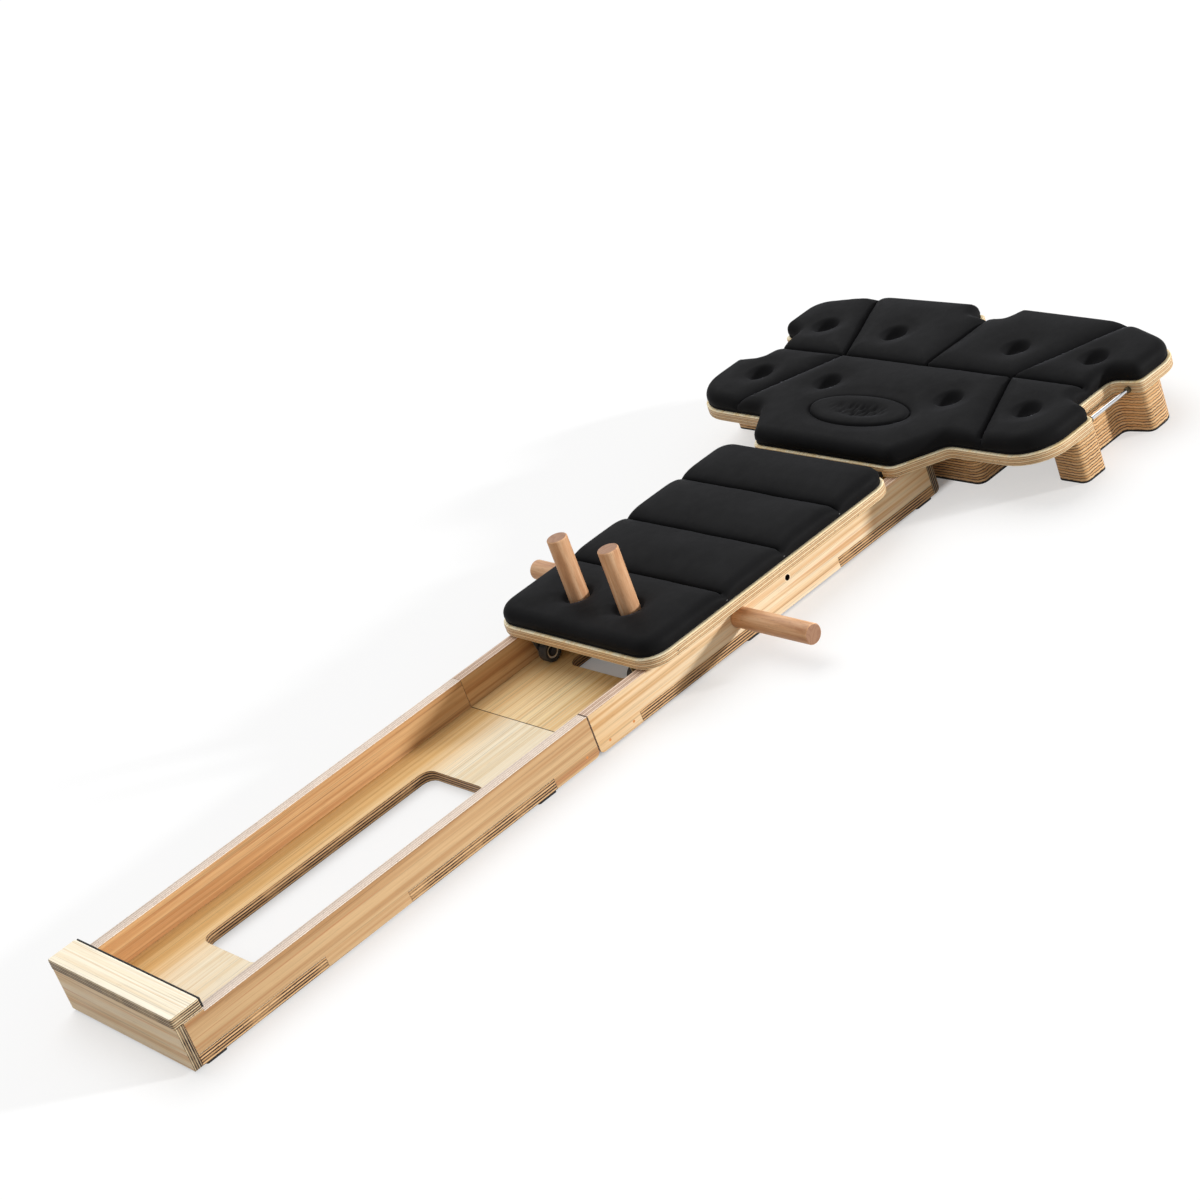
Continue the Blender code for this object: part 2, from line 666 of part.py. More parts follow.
def hinge_leaf(side, hand, slots):
    """A leaf let into the floor's underside, with its share of the barrel's knuckles."""
    word = "left" if hand > 0 else "right"
    middle = hand * HINGE_SPACING / 2
    half_width = hinge_width() / 2
    leaf_top = FOOT_HEIGHT + HINGE_LEAF
    ends = sorted(from_seam(side, value) for value in (HINGE_BARREL_RADIUS + CLEARANCE, HINGE_REACH))
    plate = rectangle(*ends, middle - half_width, middle + half_width)
    made = add(f"hinge_leaf_{side}_{word}", prism(plate, FOOT_HEIGHT, leaf_top), STEEL, section_pivot(side))
    centre = HINGE_AXIS + Vector((0.0, middle, 0.0))
    for slot in slots:
        start = slot * (HINGE_KNUCKLE + CLEARANCE) - half_width
        knuckle = cylinder(HINGE_BARREL_RADIUS, start, start + HINGE_KNUCKLE, centre, "Y")
        combine(made, knuckle, "UNION")
        root = sorted(from_seam(side, value) for value in (0.0, 2 * HINGE_BARREL_RADIUS))
        tongue = rectangle(*root, middle + start, middle + start + HINGE_KNUCKLE)
        combine(made, prism(tongue, FOOT_HEIGHT, leaf_top), "UNION")
    bore = cylinder(HINGE_BORE_RADIUS, -hinge_width(), hinge_width(), centre, "Y")
    combine(made, bore, "DIFFERENCE")


def hinge(hand):
    hinge_leaf("back", hand, (0, 2))
    hinge_leaf("front", hand, (1,))
    reach = hinge_width() / 2
    centre = HINGE_AXIS + Vector((0.0, hand * HINGE_SPACING / 2, 0.0))
    shape = cylinder(HINGE_PIN_RADIUS, -reach, reach, centre, "Y", 16)
    add(f"hinge_pin_{'left' if hand > 0 else 'right'}", shape, STEEL, section_pivot("back"), smooth=True)


# Carriage


def carriage_outline():
    front = CARRIAGE_FRONT
    back = CARRIAGE_FRONT + CARRIAGE_LENGTH
    half = [(front, CARRIAGE_SPAN, CARRIAGE_FRONT_CORNER), (back, CARRIAGE_SPAN, CARRIAGE_BACK_CORNER)]
    return rounded(mirrored(half))


def carriage(pivot):
    """The board that rolls on the track, its four-panel pad and the sockets below it."""
    outline = carriage_outline()
    deck = add("carriage_board", board(outline, CARRIAGE_UNDERSIDE, CARRIAGE_TOP), BIRCH, pivot)
    pits = [Vector((UPRIGHT_PEG_X, hand * UPRIGHT_PEG_SPACING / 2)) for hand in (-1, 1)]
    for pit, word in zip(pits, ("right", "left")):
        through = prism(circle(*pit, PEG_HOLE_RADIUS, 32), 0.0, 2 * CARRIAGE_TOP)
        combine(deck, through, "DIFFERENCE")
        bottom = CARRIAGE_UNDERSIDE - SOCKET_DEPTH
        cup = [
            (PEG_HOLE_RADIUS, bottom - CLEARANCE),
            (PEG_HOLE_RADIUS, CARRIAGE_UNDERSIDE - CLEARANCE),
            (SOCKET_RADIUS, CARRIAGE_UNDERSIDE - CLEARANCE),
            (SOCKET_RADIUS, bottom - SOCKET_FLOOR),
        ]
        add(f"peg_socket_{word}", turned(cup, 32, (*pit, 0.0)), BLACK_RUBBER, pivot, smooth=True)
    places = [CARRIAGE_FRONT + seam for seam in CARRIAGE_SEAMS]
    seams = [[Vector((x, -CARRIAGE_SPAN)), Vector((x, CARRIAGE_SPAN))] for x in places]
    edge = inset(outline, PAD_INSET)
    base = CARRIAGE_TOP + CLEARANCE
    cushion("carriage_pad", edge, seams, [], pits, base, CARRIAGE_PAD_HEIGHT - CLEARANCE, pivot)


def wheel(place, x, hand):
    """A rubber-tyred roller on a bolt through a bent sheet bracket under the carriage board."""
    centre = Vector((x, hand * WHEEL_INNER_FACE, WHEEL_HEIGHT))
    soft = WHEEL_WIDTH / 8
    bore = HUB_RADIUS + CLEARANCE

    def along(values):
        return [(radius, height * hand) for radius, height in values]

    tyre = [
        (bore, 0.0),
        (WHEEL_RADIUS - soft, 0.0),
        (WHEEL_RADIUS, soft),
        (WHEEL_RADIUS, WHEEL_WIDTH - soft),
        (WHEEL_RADIUS - soft, WHEEL_WIDTH),
        (bore, WHEEL_WIDTH),
    ]
    add(f"tyre_{place}", turned(along(tyre), 28, centre, "Y", ring=True), GREY_TYRE, centre, smooth=True)
    hub_end = WHEEL_WIDTH + HUB_BOSS
    hub = [
        (AXLE_RADIUS + CLEARANCE, soft),
        (HUB_RADIUS, soft),
        (HUB_RADIUS, WHEEL_WIDTH - soft),
        (AXLE_HEAD_RADIUS, WHEEL_WIDTH - soft),
        (AXLE_HEAD_RADIUS, hub_end),
        (AXLE_RADIUS + CLEARANCE, hub_end),
    ]
    shape = turned(along(hub), 28, centre, "Y", ring=True)
    add(f"wheel_hub_{place}", shape, PALE_PLASTIC, centre, smooth=True)
    plate_start = hub_end + CLEARANCE
    plate_end = plate_start + BRACKET_SHEET
    head_end = soft - CLEARANCE
    nut_start = plate_end + CLEARANCE
    axle = [
        (AXLE_HEAD_RADIUS, head_end - AXLE_HEAD_LENGTH),
        (AXLE_HEAD_RADIUS, head_end),
        (AXLE_RADIUS, head_end),
        (AXLE_RADIUS, nut_start),
        (AXLE_HEAD_RADIUS, nut_start),
        (AXLE_HEAD_RADIUS, nut_start + 2 * AXLE_HEAD_LENGTH),
    ]
    add(f"axle_{place}", turned(along(axle), 20, centre, "Y"), DARK_STEEL, carriage_pivot(), smooth=True)
    bracket(place, centre, hand, plate_start, plate_end)


def bracket(place, centre, hand, plate_start, plate_end):
    """A plate that carries the bolt and a flange that lies under the carriage board."""
    top = CARRIAGE_UNDERSIDE - CLEARANCE
    half = BRACKET_WIDTH / 2
    corners = [
        (centre.x - half, top, 0),
        (centre.x - half, top - BRACKET_SHEET, 0),
        (centre.x - BRACKET_NOSE_RADIUS, centre.z - BRACKET_NOSE_RADIUS, BRACKET_NOSE_RADIUS * 0.8),
        (centre.x + BRACKET_NOSE_RADIUS, centre.z - BRACKET_NOSE_RADIUS, BRACKET_NOSE_RADIUS * 0.8),
        (centre.x + half, top - BRACKET_SHEET, 0),
        (centre.x + half, top, 0),
    ]
    near, far = sorted(centre.y + hand * value for value in (plate_start, plate_end))
    made = add(f"bracket_{place}", prism(rounded(corners), near, far, "Y"), STEEL, carriage_pivot())
    near, far = sorted(centre.y + hand * value for value in (plate_end - BRACKET_FLANGE, plate_end))
    flange = rectangle(centre.x - half, centre.x + half, near, far)
    combine(made, prism(flange, top - BRACKET_SHEET, top), "UNION")
    on_axis = Vector((centre.x, 0.0, centre.z))
    bolt_hole = cylinder(AXLE_RADIUS + CLEARANCE, -TRACK_WIDTH, TRACK_WIDTH, on_axis, "Y", 20)
    combine(made, bolt_hole, "DIFFERENCE")


def carriage_pivot():
    return (CARRIAGE_FRONT + CARRIAGE_LENGTH / 2, 0.0, CARRIAGE_UNDERSIDE)


def wheels():
    ends = {"front": CARRIAGE_FRONT + WHEEL_INSET, "back": CARRIAGE_FRONT + CARRIAGE_LENGTH - WHEEL_INSET}
    for end, x in ends.items():
        for word, hand in (("left", 1), ("right", -1)):
            wheel(f"{end}_{word}", x, hand)


# Pegs


def peg(name, start, axis, direction):
    """A turned hand peg with small chamfers, whose origin is its inner end."""
    profile = [
        (PEG_RADIUS - PEG_CHAMFER, 0.0),
        (PEG_RADIUS, PEG_CHAMFER),
        (PEG_RADIUS, PEG_LENGTH - PEG_CHAMFER),
        (PEG_RADIUS - PEG_CHAMFER, PEG_LENGTH),
    ]
    shape = turned([(radius, height * direction) for radius, height in profile], 32, start, axis)
    add(name, shape, BEECH, start, smooth=True)


def pegs():
    for word, hand in (("left", 1), ("right", -1)):
        bottom = CARRIAGE_UNDERSIDE - SOCKET_DEPTH
        peg(f"peg_upright_{word}", (UPRIGHT_PEG_X, hand * UPRIGHT_PEG_SPACING / 2, bottom), "Z", 1)
        inner = HALF_TRACK - PLY_THICKNESS
        peg(f"peg_side_{word}", (SIDE_PEG_X, hand * inner, FOOT_HEIGHT + SIDE_PEG_HEIGHT), "Y", hand)


# Wing board


def behind_neck(corners):
    return [(NECK_FRONT + x, y, radius) for x, y, radius in corners]


def wing_outline():
    half = [
        NECK_CORNER,
        THROAT,
        FRONT_SHOULDER,
        FRONT_TIP,
        NOTCH_FRONT,
        NOTCH_REAR,
        REAR_TIP,
        REAR_SHOULDER,
        REAR_BEND,
        BACK_NOTCH_MOUTH,
        BACK_NOTCH_FLOOR,
    ]
    return rounded(mirrored(behind_neck(half)))


def wing_pits():
    places = [(row, span, hand) for row in WING_PIT_ROWS for span in WING_PIT_SPANS for hand in (-1, 1)]
    return [Vector((NECK_FRONT + row, hand * span)) for row, span, hand in places]


def rod_ends():
    """X of both ends of the round seats that hold a notch rod."""
    return (
        NECK_FRONT + ROD_NOTCH_FRONT - ROD_SEAT_DEPTH,
        NECK_FRONT + ROD_NOTCH_REAR + ROD_SEAT_DEPTH,
    )


def wing_board(pivot):
    """The wide board with waisted sides, a notch on each side and one at the back, and eight peg holes."""
    deck = add("wing_board", board(wing_outline(), WING_UNDERSIDE, WING_TOP), BIRCH, pivot)
    for pit in wing_pits():
        combine(deck, prism(circle(*pit, PEG_HOLE_RADIUS, 24), 0.0, 2 * WING_TOP), "DIFFERENCE")
    front, back = rod_ends()
    height = WING_UNDERSIDE + ROD_ABOVE_UNDERSIDE
    for word, hand in (("left", 1), ("right", -1)):
        centre = Vector((0.0, hand * ROD_SPAN, height))
        seat = cylinder(ROD_RADIUS + CLEARANCE, front, back, centre, "X", 16)
        combine(deck, seat, "DIFFERENCE")
        rod = cylinder(ROD_RADIUS, front + CLEARANCE, back - CLEARANCE, centre, "X", 16)
        add(f"notch_rod_{word}", rod, STEEL, pivot, smooth=True)


def wing_pad(pivot):
    """The wing board's pad with its star of seams and the oval in the middle."""
    joint = Vector((NECK_FRONT + WING_SEAM_JOINT[0], WING_SEAM_JOINT[1]))
    flip = Vector((1.0, -1.0))
    seams = [[joint * flip, joint], [Vector((joint.x, 0.0)), Vector((NECK_FRONT + WING_BACK, 0.0))]]
    for x, y in WING_SEAM_ENDS:
        end = Vector((NECK_FRONT + x, y))
        seams += [[joint, end], [joint * flip, end * flip]]
    oval = [
        Vector((NECK_FRONT + OVAL_FROM_NECK + OVAL_DEPTH * turn.x, OVAL_HALF_WIDTH * turn.y))
        for turn in circle(0.0, 0.0, 1.0, 28)
    ]
    outline = inset(wing_outline(), PAD_INSET)
    base = WING_TOP + CLEARANCE
    cushion("wing_pad", outline, seams, oval, wing_pits(), base, WING_PAD_HEIGHT - CLEARANCE, pivot)


def block_with_sole(name, outline, pivot):
    """A thick plywood block under the wing board, on a thin rubber sole."""
    add(f"{name}_sole", prism(outline, 0.0, SOLE_THICKNESS), BLACK_RUBBER, pivot)
    low = SOLE_THICKNESS + CLEARANCE
    return add(name, prism(outline, low, WING_UNDERSIDE - CLEARANCE), PINE, pivot)


def legs(pivot):
    """The two outer blocks follow the wing board's edge round its side notches."""
    corners = [
        (LEG_FRONT, LEG_INNER_SPAN, 0.008),
        (LEG_FRONT, SHOULDER_SPAN, 0.010),
        FRONT_TIP,
        NOTCH_FRONT,
        NOTCH_REAR,
        REAR_TIP,
        (LEG_BACK, REAR_TIP[1], 0.030),
        (LEG_BACK, LEG_INNER_SPAN, 0.015),
        (REAR_TIP[0], LEG_INNER_SPAN, 0.012),
        (NOTCH_REAR[0], LEG_WAIST_SPAN, 0.012),
        (NOTCH_FRONT[0], LEG_WAIST_SPAN, 0.020),
        (FRONT_TIP[0], LEG_INNER_SPAN, 0.012),
    ]
    for word, hand in (("left", 1), ("right", -1)):
        outline = [Vector((x, hand * y)) for x, y in rounded(behind_neck(corners))]
        block_with_sole(f"leg_{word}", outline, pivot)


def neck_block(pivot):
    """The middle block, bored below the two front inner peg holes."""
    front = NECK_FRONT + BLOCK_FRONT
    outline = rectangle(front, front + BLOCK_DEPTH, -BLOCK_HALF_WIDTH, BLOCK_HALF_WIDTH, BLOCK_CORNER)
    block = block_with_sole("neck_block", outline, pivot)
    bottom = WING_UNDERSIDE - SOCKET_DEPTH
    for hand in (-1, 1):
        bore = circle(NECK_FRONT + WING_PIT_ROWS[0], hand * WING_PIT_SPANS[0], PEG_HOLE_RADIUS, 24)
        combine(block, prism(bore, bottom, 2 * WING_TOP), "DIFFERENCE")


def neck_bumper(pivot):
    half = NECK_CORNER[1] - NECK_BUMPER_INSET
    face = NECK_FRONT - CLEARANCE
    strip = rectangle(face - BUMPER_THICKNESS, face, -half, half)
    low = WING_UNDERSIDE + EASED_EDGE
    add("bumper_neck", prism(strip, low, low + NECK_BUMPER_HEIGHT), BLACK_RUBBER, pivot)


def wing():
    pivot = (NECK_FRONT, 0.0, WING_UNDERSIDE)
    wing_board(pivot)
    wing_pad(pivot)
    legs(pivot)
    neck_block(pivot)
    neck_bumper(pivot)


def main():
    clear_scene()
    for side in ("front", "back"):
        floor(side)
        for hand in (-1, 1):
            wall(side, hand)
        end_board(side)
        feet(side)
    end_cap()
    for hand in (-1, 1):
        hinge(hand)
    carriage(carriage_pivot())
    wheels()
    pegs()
    wing()


main()
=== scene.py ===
import json
import math
from typing import NamedTuple

import bmesh
import bpy
import numpy as np
from mathutils import Matrix, Vector
from mathutils.geometry import delaunay_2d_cdt

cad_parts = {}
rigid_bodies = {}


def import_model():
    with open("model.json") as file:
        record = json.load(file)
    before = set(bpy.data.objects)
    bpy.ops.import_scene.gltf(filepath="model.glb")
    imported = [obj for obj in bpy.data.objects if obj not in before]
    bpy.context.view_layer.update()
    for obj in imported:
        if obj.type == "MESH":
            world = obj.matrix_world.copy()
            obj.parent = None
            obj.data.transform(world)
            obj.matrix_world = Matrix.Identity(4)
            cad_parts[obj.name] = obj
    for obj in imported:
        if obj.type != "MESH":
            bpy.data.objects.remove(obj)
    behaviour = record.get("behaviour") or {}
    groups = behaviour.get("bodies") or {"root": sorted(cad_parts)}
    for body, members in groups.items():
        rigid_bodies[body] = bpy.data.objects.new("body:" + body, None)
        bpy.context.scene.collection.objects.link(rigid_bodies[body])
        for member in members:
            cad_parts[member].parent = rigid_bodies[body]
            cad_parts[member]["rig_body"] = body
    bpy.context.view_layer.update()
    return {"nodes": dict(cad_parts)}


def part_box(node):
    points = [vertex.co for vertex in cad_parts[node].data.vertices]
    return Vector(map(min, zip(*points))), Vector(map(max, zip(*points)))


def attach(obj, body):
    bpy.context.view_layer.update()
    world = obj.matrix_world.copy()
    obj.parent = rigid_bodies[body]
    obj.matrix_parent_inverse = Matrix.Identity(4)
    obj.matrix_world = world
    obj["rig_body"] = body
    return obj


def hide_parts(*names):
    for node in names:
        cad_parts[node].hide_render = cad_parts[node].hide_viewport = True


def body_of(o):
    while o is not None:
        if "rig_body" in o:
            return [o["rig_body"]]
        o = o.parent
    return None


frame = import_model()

NODES = frame["nodes"]
AXES = {"X": 0, "Y": 1, "Z": 2}
HANDS = {"left": 1, "right": -1}

# Softened edges of wood
WOOD_EASE = 0.0007
WALL_EASE = 0.0004
FLOOR_EASE = 0.0004
END_EASE = 0.0005
BLOCK_EASE = 0.0006
BOARD_EASE = 0.0026
BOARD_SEGMENTS = 3
PEG_EASE = 0.0005
EASED_ANGLE = math.radians(38)

# Welding of meshes
WELD = 0.000002
LEVEL_GAP = 0.00002
FLAT_ANGLE = math.radians(0.5)

# Pads: the same form as their solids, in finer steps
PAD_SIDE = 0.008
PAD_BULGE = 0.0045
PAD_SIDE_TUCK = 0.60
PAD_LEAST = PAD_SIDE / 3
PAD_TOP = PAD_SIDE * 0.6
PAD_EDGE_ROUND = 0.016
PAD_LIFT = {"carriage_pad": 0.0012, "wing_pad": 0.0010}
PAD_ROWS = ((0.05, 0.78), (0.20, 0.52), (0.45, 0.28), (0.75, 0.10))
PIT_WALL_ROWS = ((0.0, 0.5),)
CROWN = 0.0028
CROWN_REACH = 0.048
SEAM_ROUND = 0.028
SEAM_CUT = 0.64
CREASE_DEPTH = 0.0016
CREASE_WIDTH = 0.0024
PEG_PIT = {"radius": 0.0146, "depth": 0.0040, "spread": 0.022, "roll": 0.0090, "roll_depth": 0.0065}
BARE_PIT = {"radius": 0.0075, "depth": 0.0048, "spread": 0.040, "roll": 0.0165, "roll_depth": 0.0122}
HOLE_SIDES = 48
OVAL_SIDES = 110
OUTLINE_SOFTNESS = 0.0035
OUTLINE_SPAN = 12
OUTLINE_FINENESS = 4

# Unevenness of the fabric: height, size of the marks and how far they reach
WAVE_HEIGHT = 0.0005
WAVE_SIZE = 0.11
WAVE_REACH = 0.05
TUCK_HEIGHT = 0.0006
TUCK_SIZE = 0.013
TUCK_REACH = 0.007
TUCK_START = 0.0015
PIT_TUCK_HEIGHT = 0.0004
PIT_TUCK_SIZE = 0.009
PIT_TUCK_REACH = 0.006
WAVES = 9

# Spacing of the pads' points
FAR = 9.0
FABRIC_STEP = 0.0040
OUTLINE_STEP = 0.0035
EDGE_ROWS = (0.0006, 0.0015, 0.0028, 0.0046, 0.0070)
SEAM_ROWS = (0.0012, 0.0027, 0.0046)
SEAM_SHIFTS = (0.0, *(row * hand for row in SEAM_ROWS for hand in (1, -1)))
PIT_RINGS = (0.0007, 0.0017, 0.0030, 0.0047, 0.0068, 0.0093, 0.0122, 0.0150, 0.0178)
ROW_ROOM = 0.0015
ROW_THINNING = 0.0008
GRID_ROOM = 0.6
SEAM_ROOM = 0.5
PIT_GRACE = 0.0002
SKIN_EXACTNESS = 0.0000001

# Cloth that fills the pads
CLOTH_FRAMES = 20
CLOTH_TENSION = 8.0
CLOTH_SETTINGS = {
    "quality": 4,
    "mass": 0.3,
    "tension_stiffness": CLOTH_TENSION,
    "compression_stiffness": CLOTH_TENSION,
    "shear_stiffness": CLOTH_TENSION / 3,
    "bending_stiffness": 3.0,
    "use_pressure": True,
    "uniform_pressure_force": 20.0,
}
CLOTH_CAP = 0.0060
CLOTH_EVENING = 14
HELD_EDGE = 0.005
HELD_SEAM = 0.0030
HELD_OVAL = 0.60
FIRM_WIDTH = 0.020

# Seams and dimples, from each board's front edge and middle
CARRIAGE_SEAMS = (0.144, 0.252, 0.359)
SEAM_JOINT = (0.229, 0.160)
SEAM_ENDS = ((0.384, 0.237), (0.227, 0.2975), (0.050, 0.247))
WING_LENGTH = 0.4035
OVAL_PLACE = 0.090
OVAL_DEPTH = 0.038
OVAL_HALF_WIDTH = 0.091
OVAL_GROOVE = 0.0055
OVAL_CREASE = CREASE_DEPTH * 0.8
GROOVE_ROUND = 0.011
GROOVE_SPREAD = 0.026
GROOVE_SHARES = (0.45, 0.55)
OVAL_DISH = 0.0062
DISH_START = 0.18
DISH_FALL = 0.50
GATHER_HEIGHT = 0.0024
GATHER_SIZE = 0.0078
GATHER_STRETCH = (0.35, 1.0)
GATHER_STEP = 0.0020
GATHER_ROWS = GATHER_STEP * 1.6
GATHER_DEPTH = 0.017
GATHER_HALF_WIDTH = 0.056
GATHER_FADE = 0.55
HEM_RADIUS = 0.0019
HEM_OUT = 0.0022
HEM_SIDES = 8
HEM_UNEVENNESS = 0.06
HEM_MARKS = 0.030
PIT_ROWS = (0.149, 0.293)
PIT_SPANS = (0.117, 0.257)

# Camera
CAMERA_PLACE = (-1.8058, -2.7829, 1.7329)
CAMERA_RIGHT = (0.7002, -0.6401, -0.3163)
CAMERA_UP = (0.5205, 0.1543, 0.8398)
CAMERA_BACK = (-0.4887, -0.7527, 0.4412)
CAMERA_LENS = 86.28
CAMERA_REACH = 100.0
SENSOR = 36.0

# Light and studio floor
KEY_DIRECTION = (-1.0, 1.15, -0.305)
KEY_LEVEL = 0.88
KEY_ANGLE = math.radians(5)
TOP_DIRECTION = (-0.30, -0.60, -1.0)
TOP_LEVEL = 0.52
TOP_ANGLE = math.radians(55)
SKY_LEVEL = 0.50
STAGE_SIZE = 40.0
GROUND_SHADE = (0.46, 0.41, 0.35, 1.0)
GROUND_WHITE = (0.97, 0.97, 0.97, 1.0)
# Painted light and shade on the floor: a weak white glow under the carriage, and a strong one round the object that
# paints over its shadow
GLOW_UNDER_PAINTED_SHADE = (0.13, 0.13, 0.13, 1.0)
GLOW_ROUND_PAINTED_LIGHT = (0.52, 0.52, 0.52, 1.0)
GLOW_SIDE = (0.50, 0.56)
SIDE_SCALE = 4.0

# The dark line where the track folds
SEAM_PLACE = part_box("floor_back")[0].x
SEAM_LINES = {
    "wall_front_right": 0.0011,
    "wall_back_right": 0.0011,
    "wall_front_left": 0.0002,
    "wall_back_left": 0.0002,
}
SEAM_LINE = 0.0006
SEAM_FACING = 0.7

# Small marks and fittings
NAIL_HEIGHT = 0.0125
NAILS = {"front": (-0.1870,), "back": (-0.1464, -0.1041)}
NAIL_RADIUS = 0.0019
WALL_BORE = (0.1944, 0.0420)
BORE_RADIUS = 0.0042
BORE_RIM = 0.0012
TACK_LENGTH = 0.0042
TACK_RADIUS = 0.0009
TACK_OUT = 0.0020
TACK_HEIGHT = 0.0046
TACK_TAPER = 0.25
ROD_SEAT = 0.0080
COLLAR_LENGTH = 0.0060
COLLAR_RADIUS = 0.0043
COLLAR_PROFILE = ((0.0, 1.0), (0.80, 1.0), (0.94, 0.94), (1.0, 0.84), (1.0, 0.64))
TURNED_SIDES = 24
SCREW_RADIUS = 0.0021
SCREW_RISE = 0.0007
SCREW_PROFILE = ((1.0, 0.0), (0.97, 0.45), (0.80, 0.85), (0.55, 1.0), (0.30, 1.0))
RECESS_REACH = 0.7
RECESS_DEPTH = 0.75
SCREW_SHIFT = {"front": -0.004, "back": 0.004}
SCREW_SHARE = {"front": 0.34, "back": 0.12}
RING_INNER = 0.0072


# Colours and shaders


def tone(red, green, blue):
    """The linear colour of a display colour from 0 to 255."""

    def linear(value):
        value /= 255
        return value / 12.92 if value <= 0.04045 else ((value + 0.055) / 1.055) ** 2.4

    return (linear(red), linear(green), linear(blue), 1.0)


class Look:
    """A Principled material that is built up socket by socket from the place on the piece."""

    def __init__(self, name):
        self.material = bpy.data.materials.new(name)
        self.material.use_nodes = True
        self.tree = self.material.node_tree
        self.shader = self.tree.nodes["Principled BSDF"]
        coordinates = self.add("TexCoord")
        self.place = coordinates.outputs["Object"]
        self.normal = coordinates.outputs["Normal"]

    def add(self, kind, *values, **settings):
        """A node of this kind and these settings, with the values fed to its first sockets."""
        node = self.tree.nodes.new(f"ShaderNode{kind}")
        for key, value in settings.items():
            setattr(node, key, value)
        for socket, value in zip(node.inputs, values):
            self.feed(socket, value)
        return node

    def feed(self, socket, value):
        if isinstance(value, bpy.types.NodeSocket):
            self.tree.links.new(value, socket)
        else:
            socket.default_value = value

    def give(self, node, **values):
        """Values for a node's sockets, by the socket's name with its spaces as lines."""
        for key, value in values.items():
            self.feed(node.inputs[key.replace("_", " ")], value)
        return node

    def set(self, **values):
        """Fixed values and linked sockets of the shader."""
        self.give(self.shader, **values)

    def math(self, operation, *values):
        return self.add("Math", *values, operation=operation).outputs[0]

    def swayed(self, value, field, amount):
        """The value moved up and down by a noise, whose own middle is 0.5."""
        return self.math("ADD", value, self.math("MULTIPLY", self.math("SUBTRACT", field, 0.5), amount))

    def part(self, vector, axis):
        return self.add("SeparateXYZ", vector).outputs[AXES[axis]]

    def facing(self, axis):
        """How squarely the surface looks along an axis, either way."""
        return self.math("ABSOLUTE", self.part(self.normal, axis))

    def noise(self, size, along=None, stretch=1.0, detail=2.0, roughness=0.5, wander=0.0, seed=0.0):
        """Noise whose marks are about this size, drawn out along an axis."""
        scale = [1.0, 1.0, 1.0]
        if along:
            scale[AXES[along]] = 1 / stretch
        turn = self.give(self.add("Mapping", self.place, (seed, seed * 0.7, seed * 1.3)), Scale=scale)
        node = self.add("TexNoise", turn.outputs[0])
        self.give(node, Scale=1 / size, Detail=detail, Roughness=roughness, Distortion=wander)
        return node.outputs["Fac"]

    def ramp(self, factor, *stops):
        """Blends colours or shades at the given places between 0 and 1."""
        node = self.add("ValToRGB")
        ramp = node.color_ramp
        while len(ramp.elements) < len(stops):
            ramp.elements.new(1.0)
        for element, (position, colour) in zip(ramp.elements, stops):
            element.position = position
            element.color = colour if isinstance(colour, tuple) else (colour, colour, colour, 1.0)
        self.feed(node.inputs["Fac"], factor)
        return node.outputs["Color"]

    def mix(self, factor, first, second, blend="MIX"):
        node = self.add("Mix", data_type="RGBA", blend_type=blend)
        self.feed(node.inputs[0], factor)
        self.feed(node.inputs[6], first)
        self.feed(node.inputs[7], second)
        return node.outputs[2]

    def darkened(self, colour, field, start, end, amount):
        """The colour times a grey shade, by this amount. The shade runs between two places of a noise."""
        return self.mix(amount, colour, self.ramp(field, start, end), blend="MULTIPLY")

    def marked(self, colour, marks):
        """The colour with round marks, each a middle, the axis it faces, a radius and a colour."""
        for middle, axis, radius, shade in marks:
            flat = [1.0, 1.0, 1.0]
            flat[AXES[axis]] = 0.0
            level = self.add("VectorMath", self.place, flat, operation="MULTIPLY").outputs[0]
            flat_middle = [value * share for value, share in zip(middle, flat)]
            gap = self.add("VectorMath", level, flat_middle, operation="DISTANCE")
            colour = self.mix(self.math("LESS_THAN", gap.outputs["Value"], radius), colour, shade)
        return colour

    def bump(self, height, depth, strength=1.0):
        node = self.give(self.add("Bump"), Height=height, Distance=depth, Strength=strength)
        self.set(Normal=node.outputs[0])


# Woods


BAND_WIDTH = 0.0085
STREAK_WIDTH = 0.0040
THREAD_WIDTH = 0.0021
LINE_WIDTH = 0.0026
FIBRE_WIDTH = 0.0009
PORE_WIDTH = 0.0016
SWAY_SIZE = 0.060
SHIVER_SIZE = 0.006
CUT_GRAIN = 0.0009
LINE_FADE = 0.030
VOID_SIZE = 0.0034
VOID_SHADE = tone(66, 42, 28)
SEAM_SHADE = tone(50, 34, 24)
# Painted shade on the floors, growing towards the left wall
FLOOR_PAINTED_SHADE = tone(226, 199, 156)
FLOOR_PAINTED_SHADE_SPAN = (0.015, 0.075)
WOOD_RELIEF = 0.00022
FACE_LIMIT = 0.75
BOARD_FACE_LIMIT = 0.25


class Plies(NamedTuple):
    """A board's cut edge: its plies' colours, the glue line's, how many plies, the line's share, its waver."""

    colours: tuple
    line: tuple
    count: int
    line_share: float
    waver: float


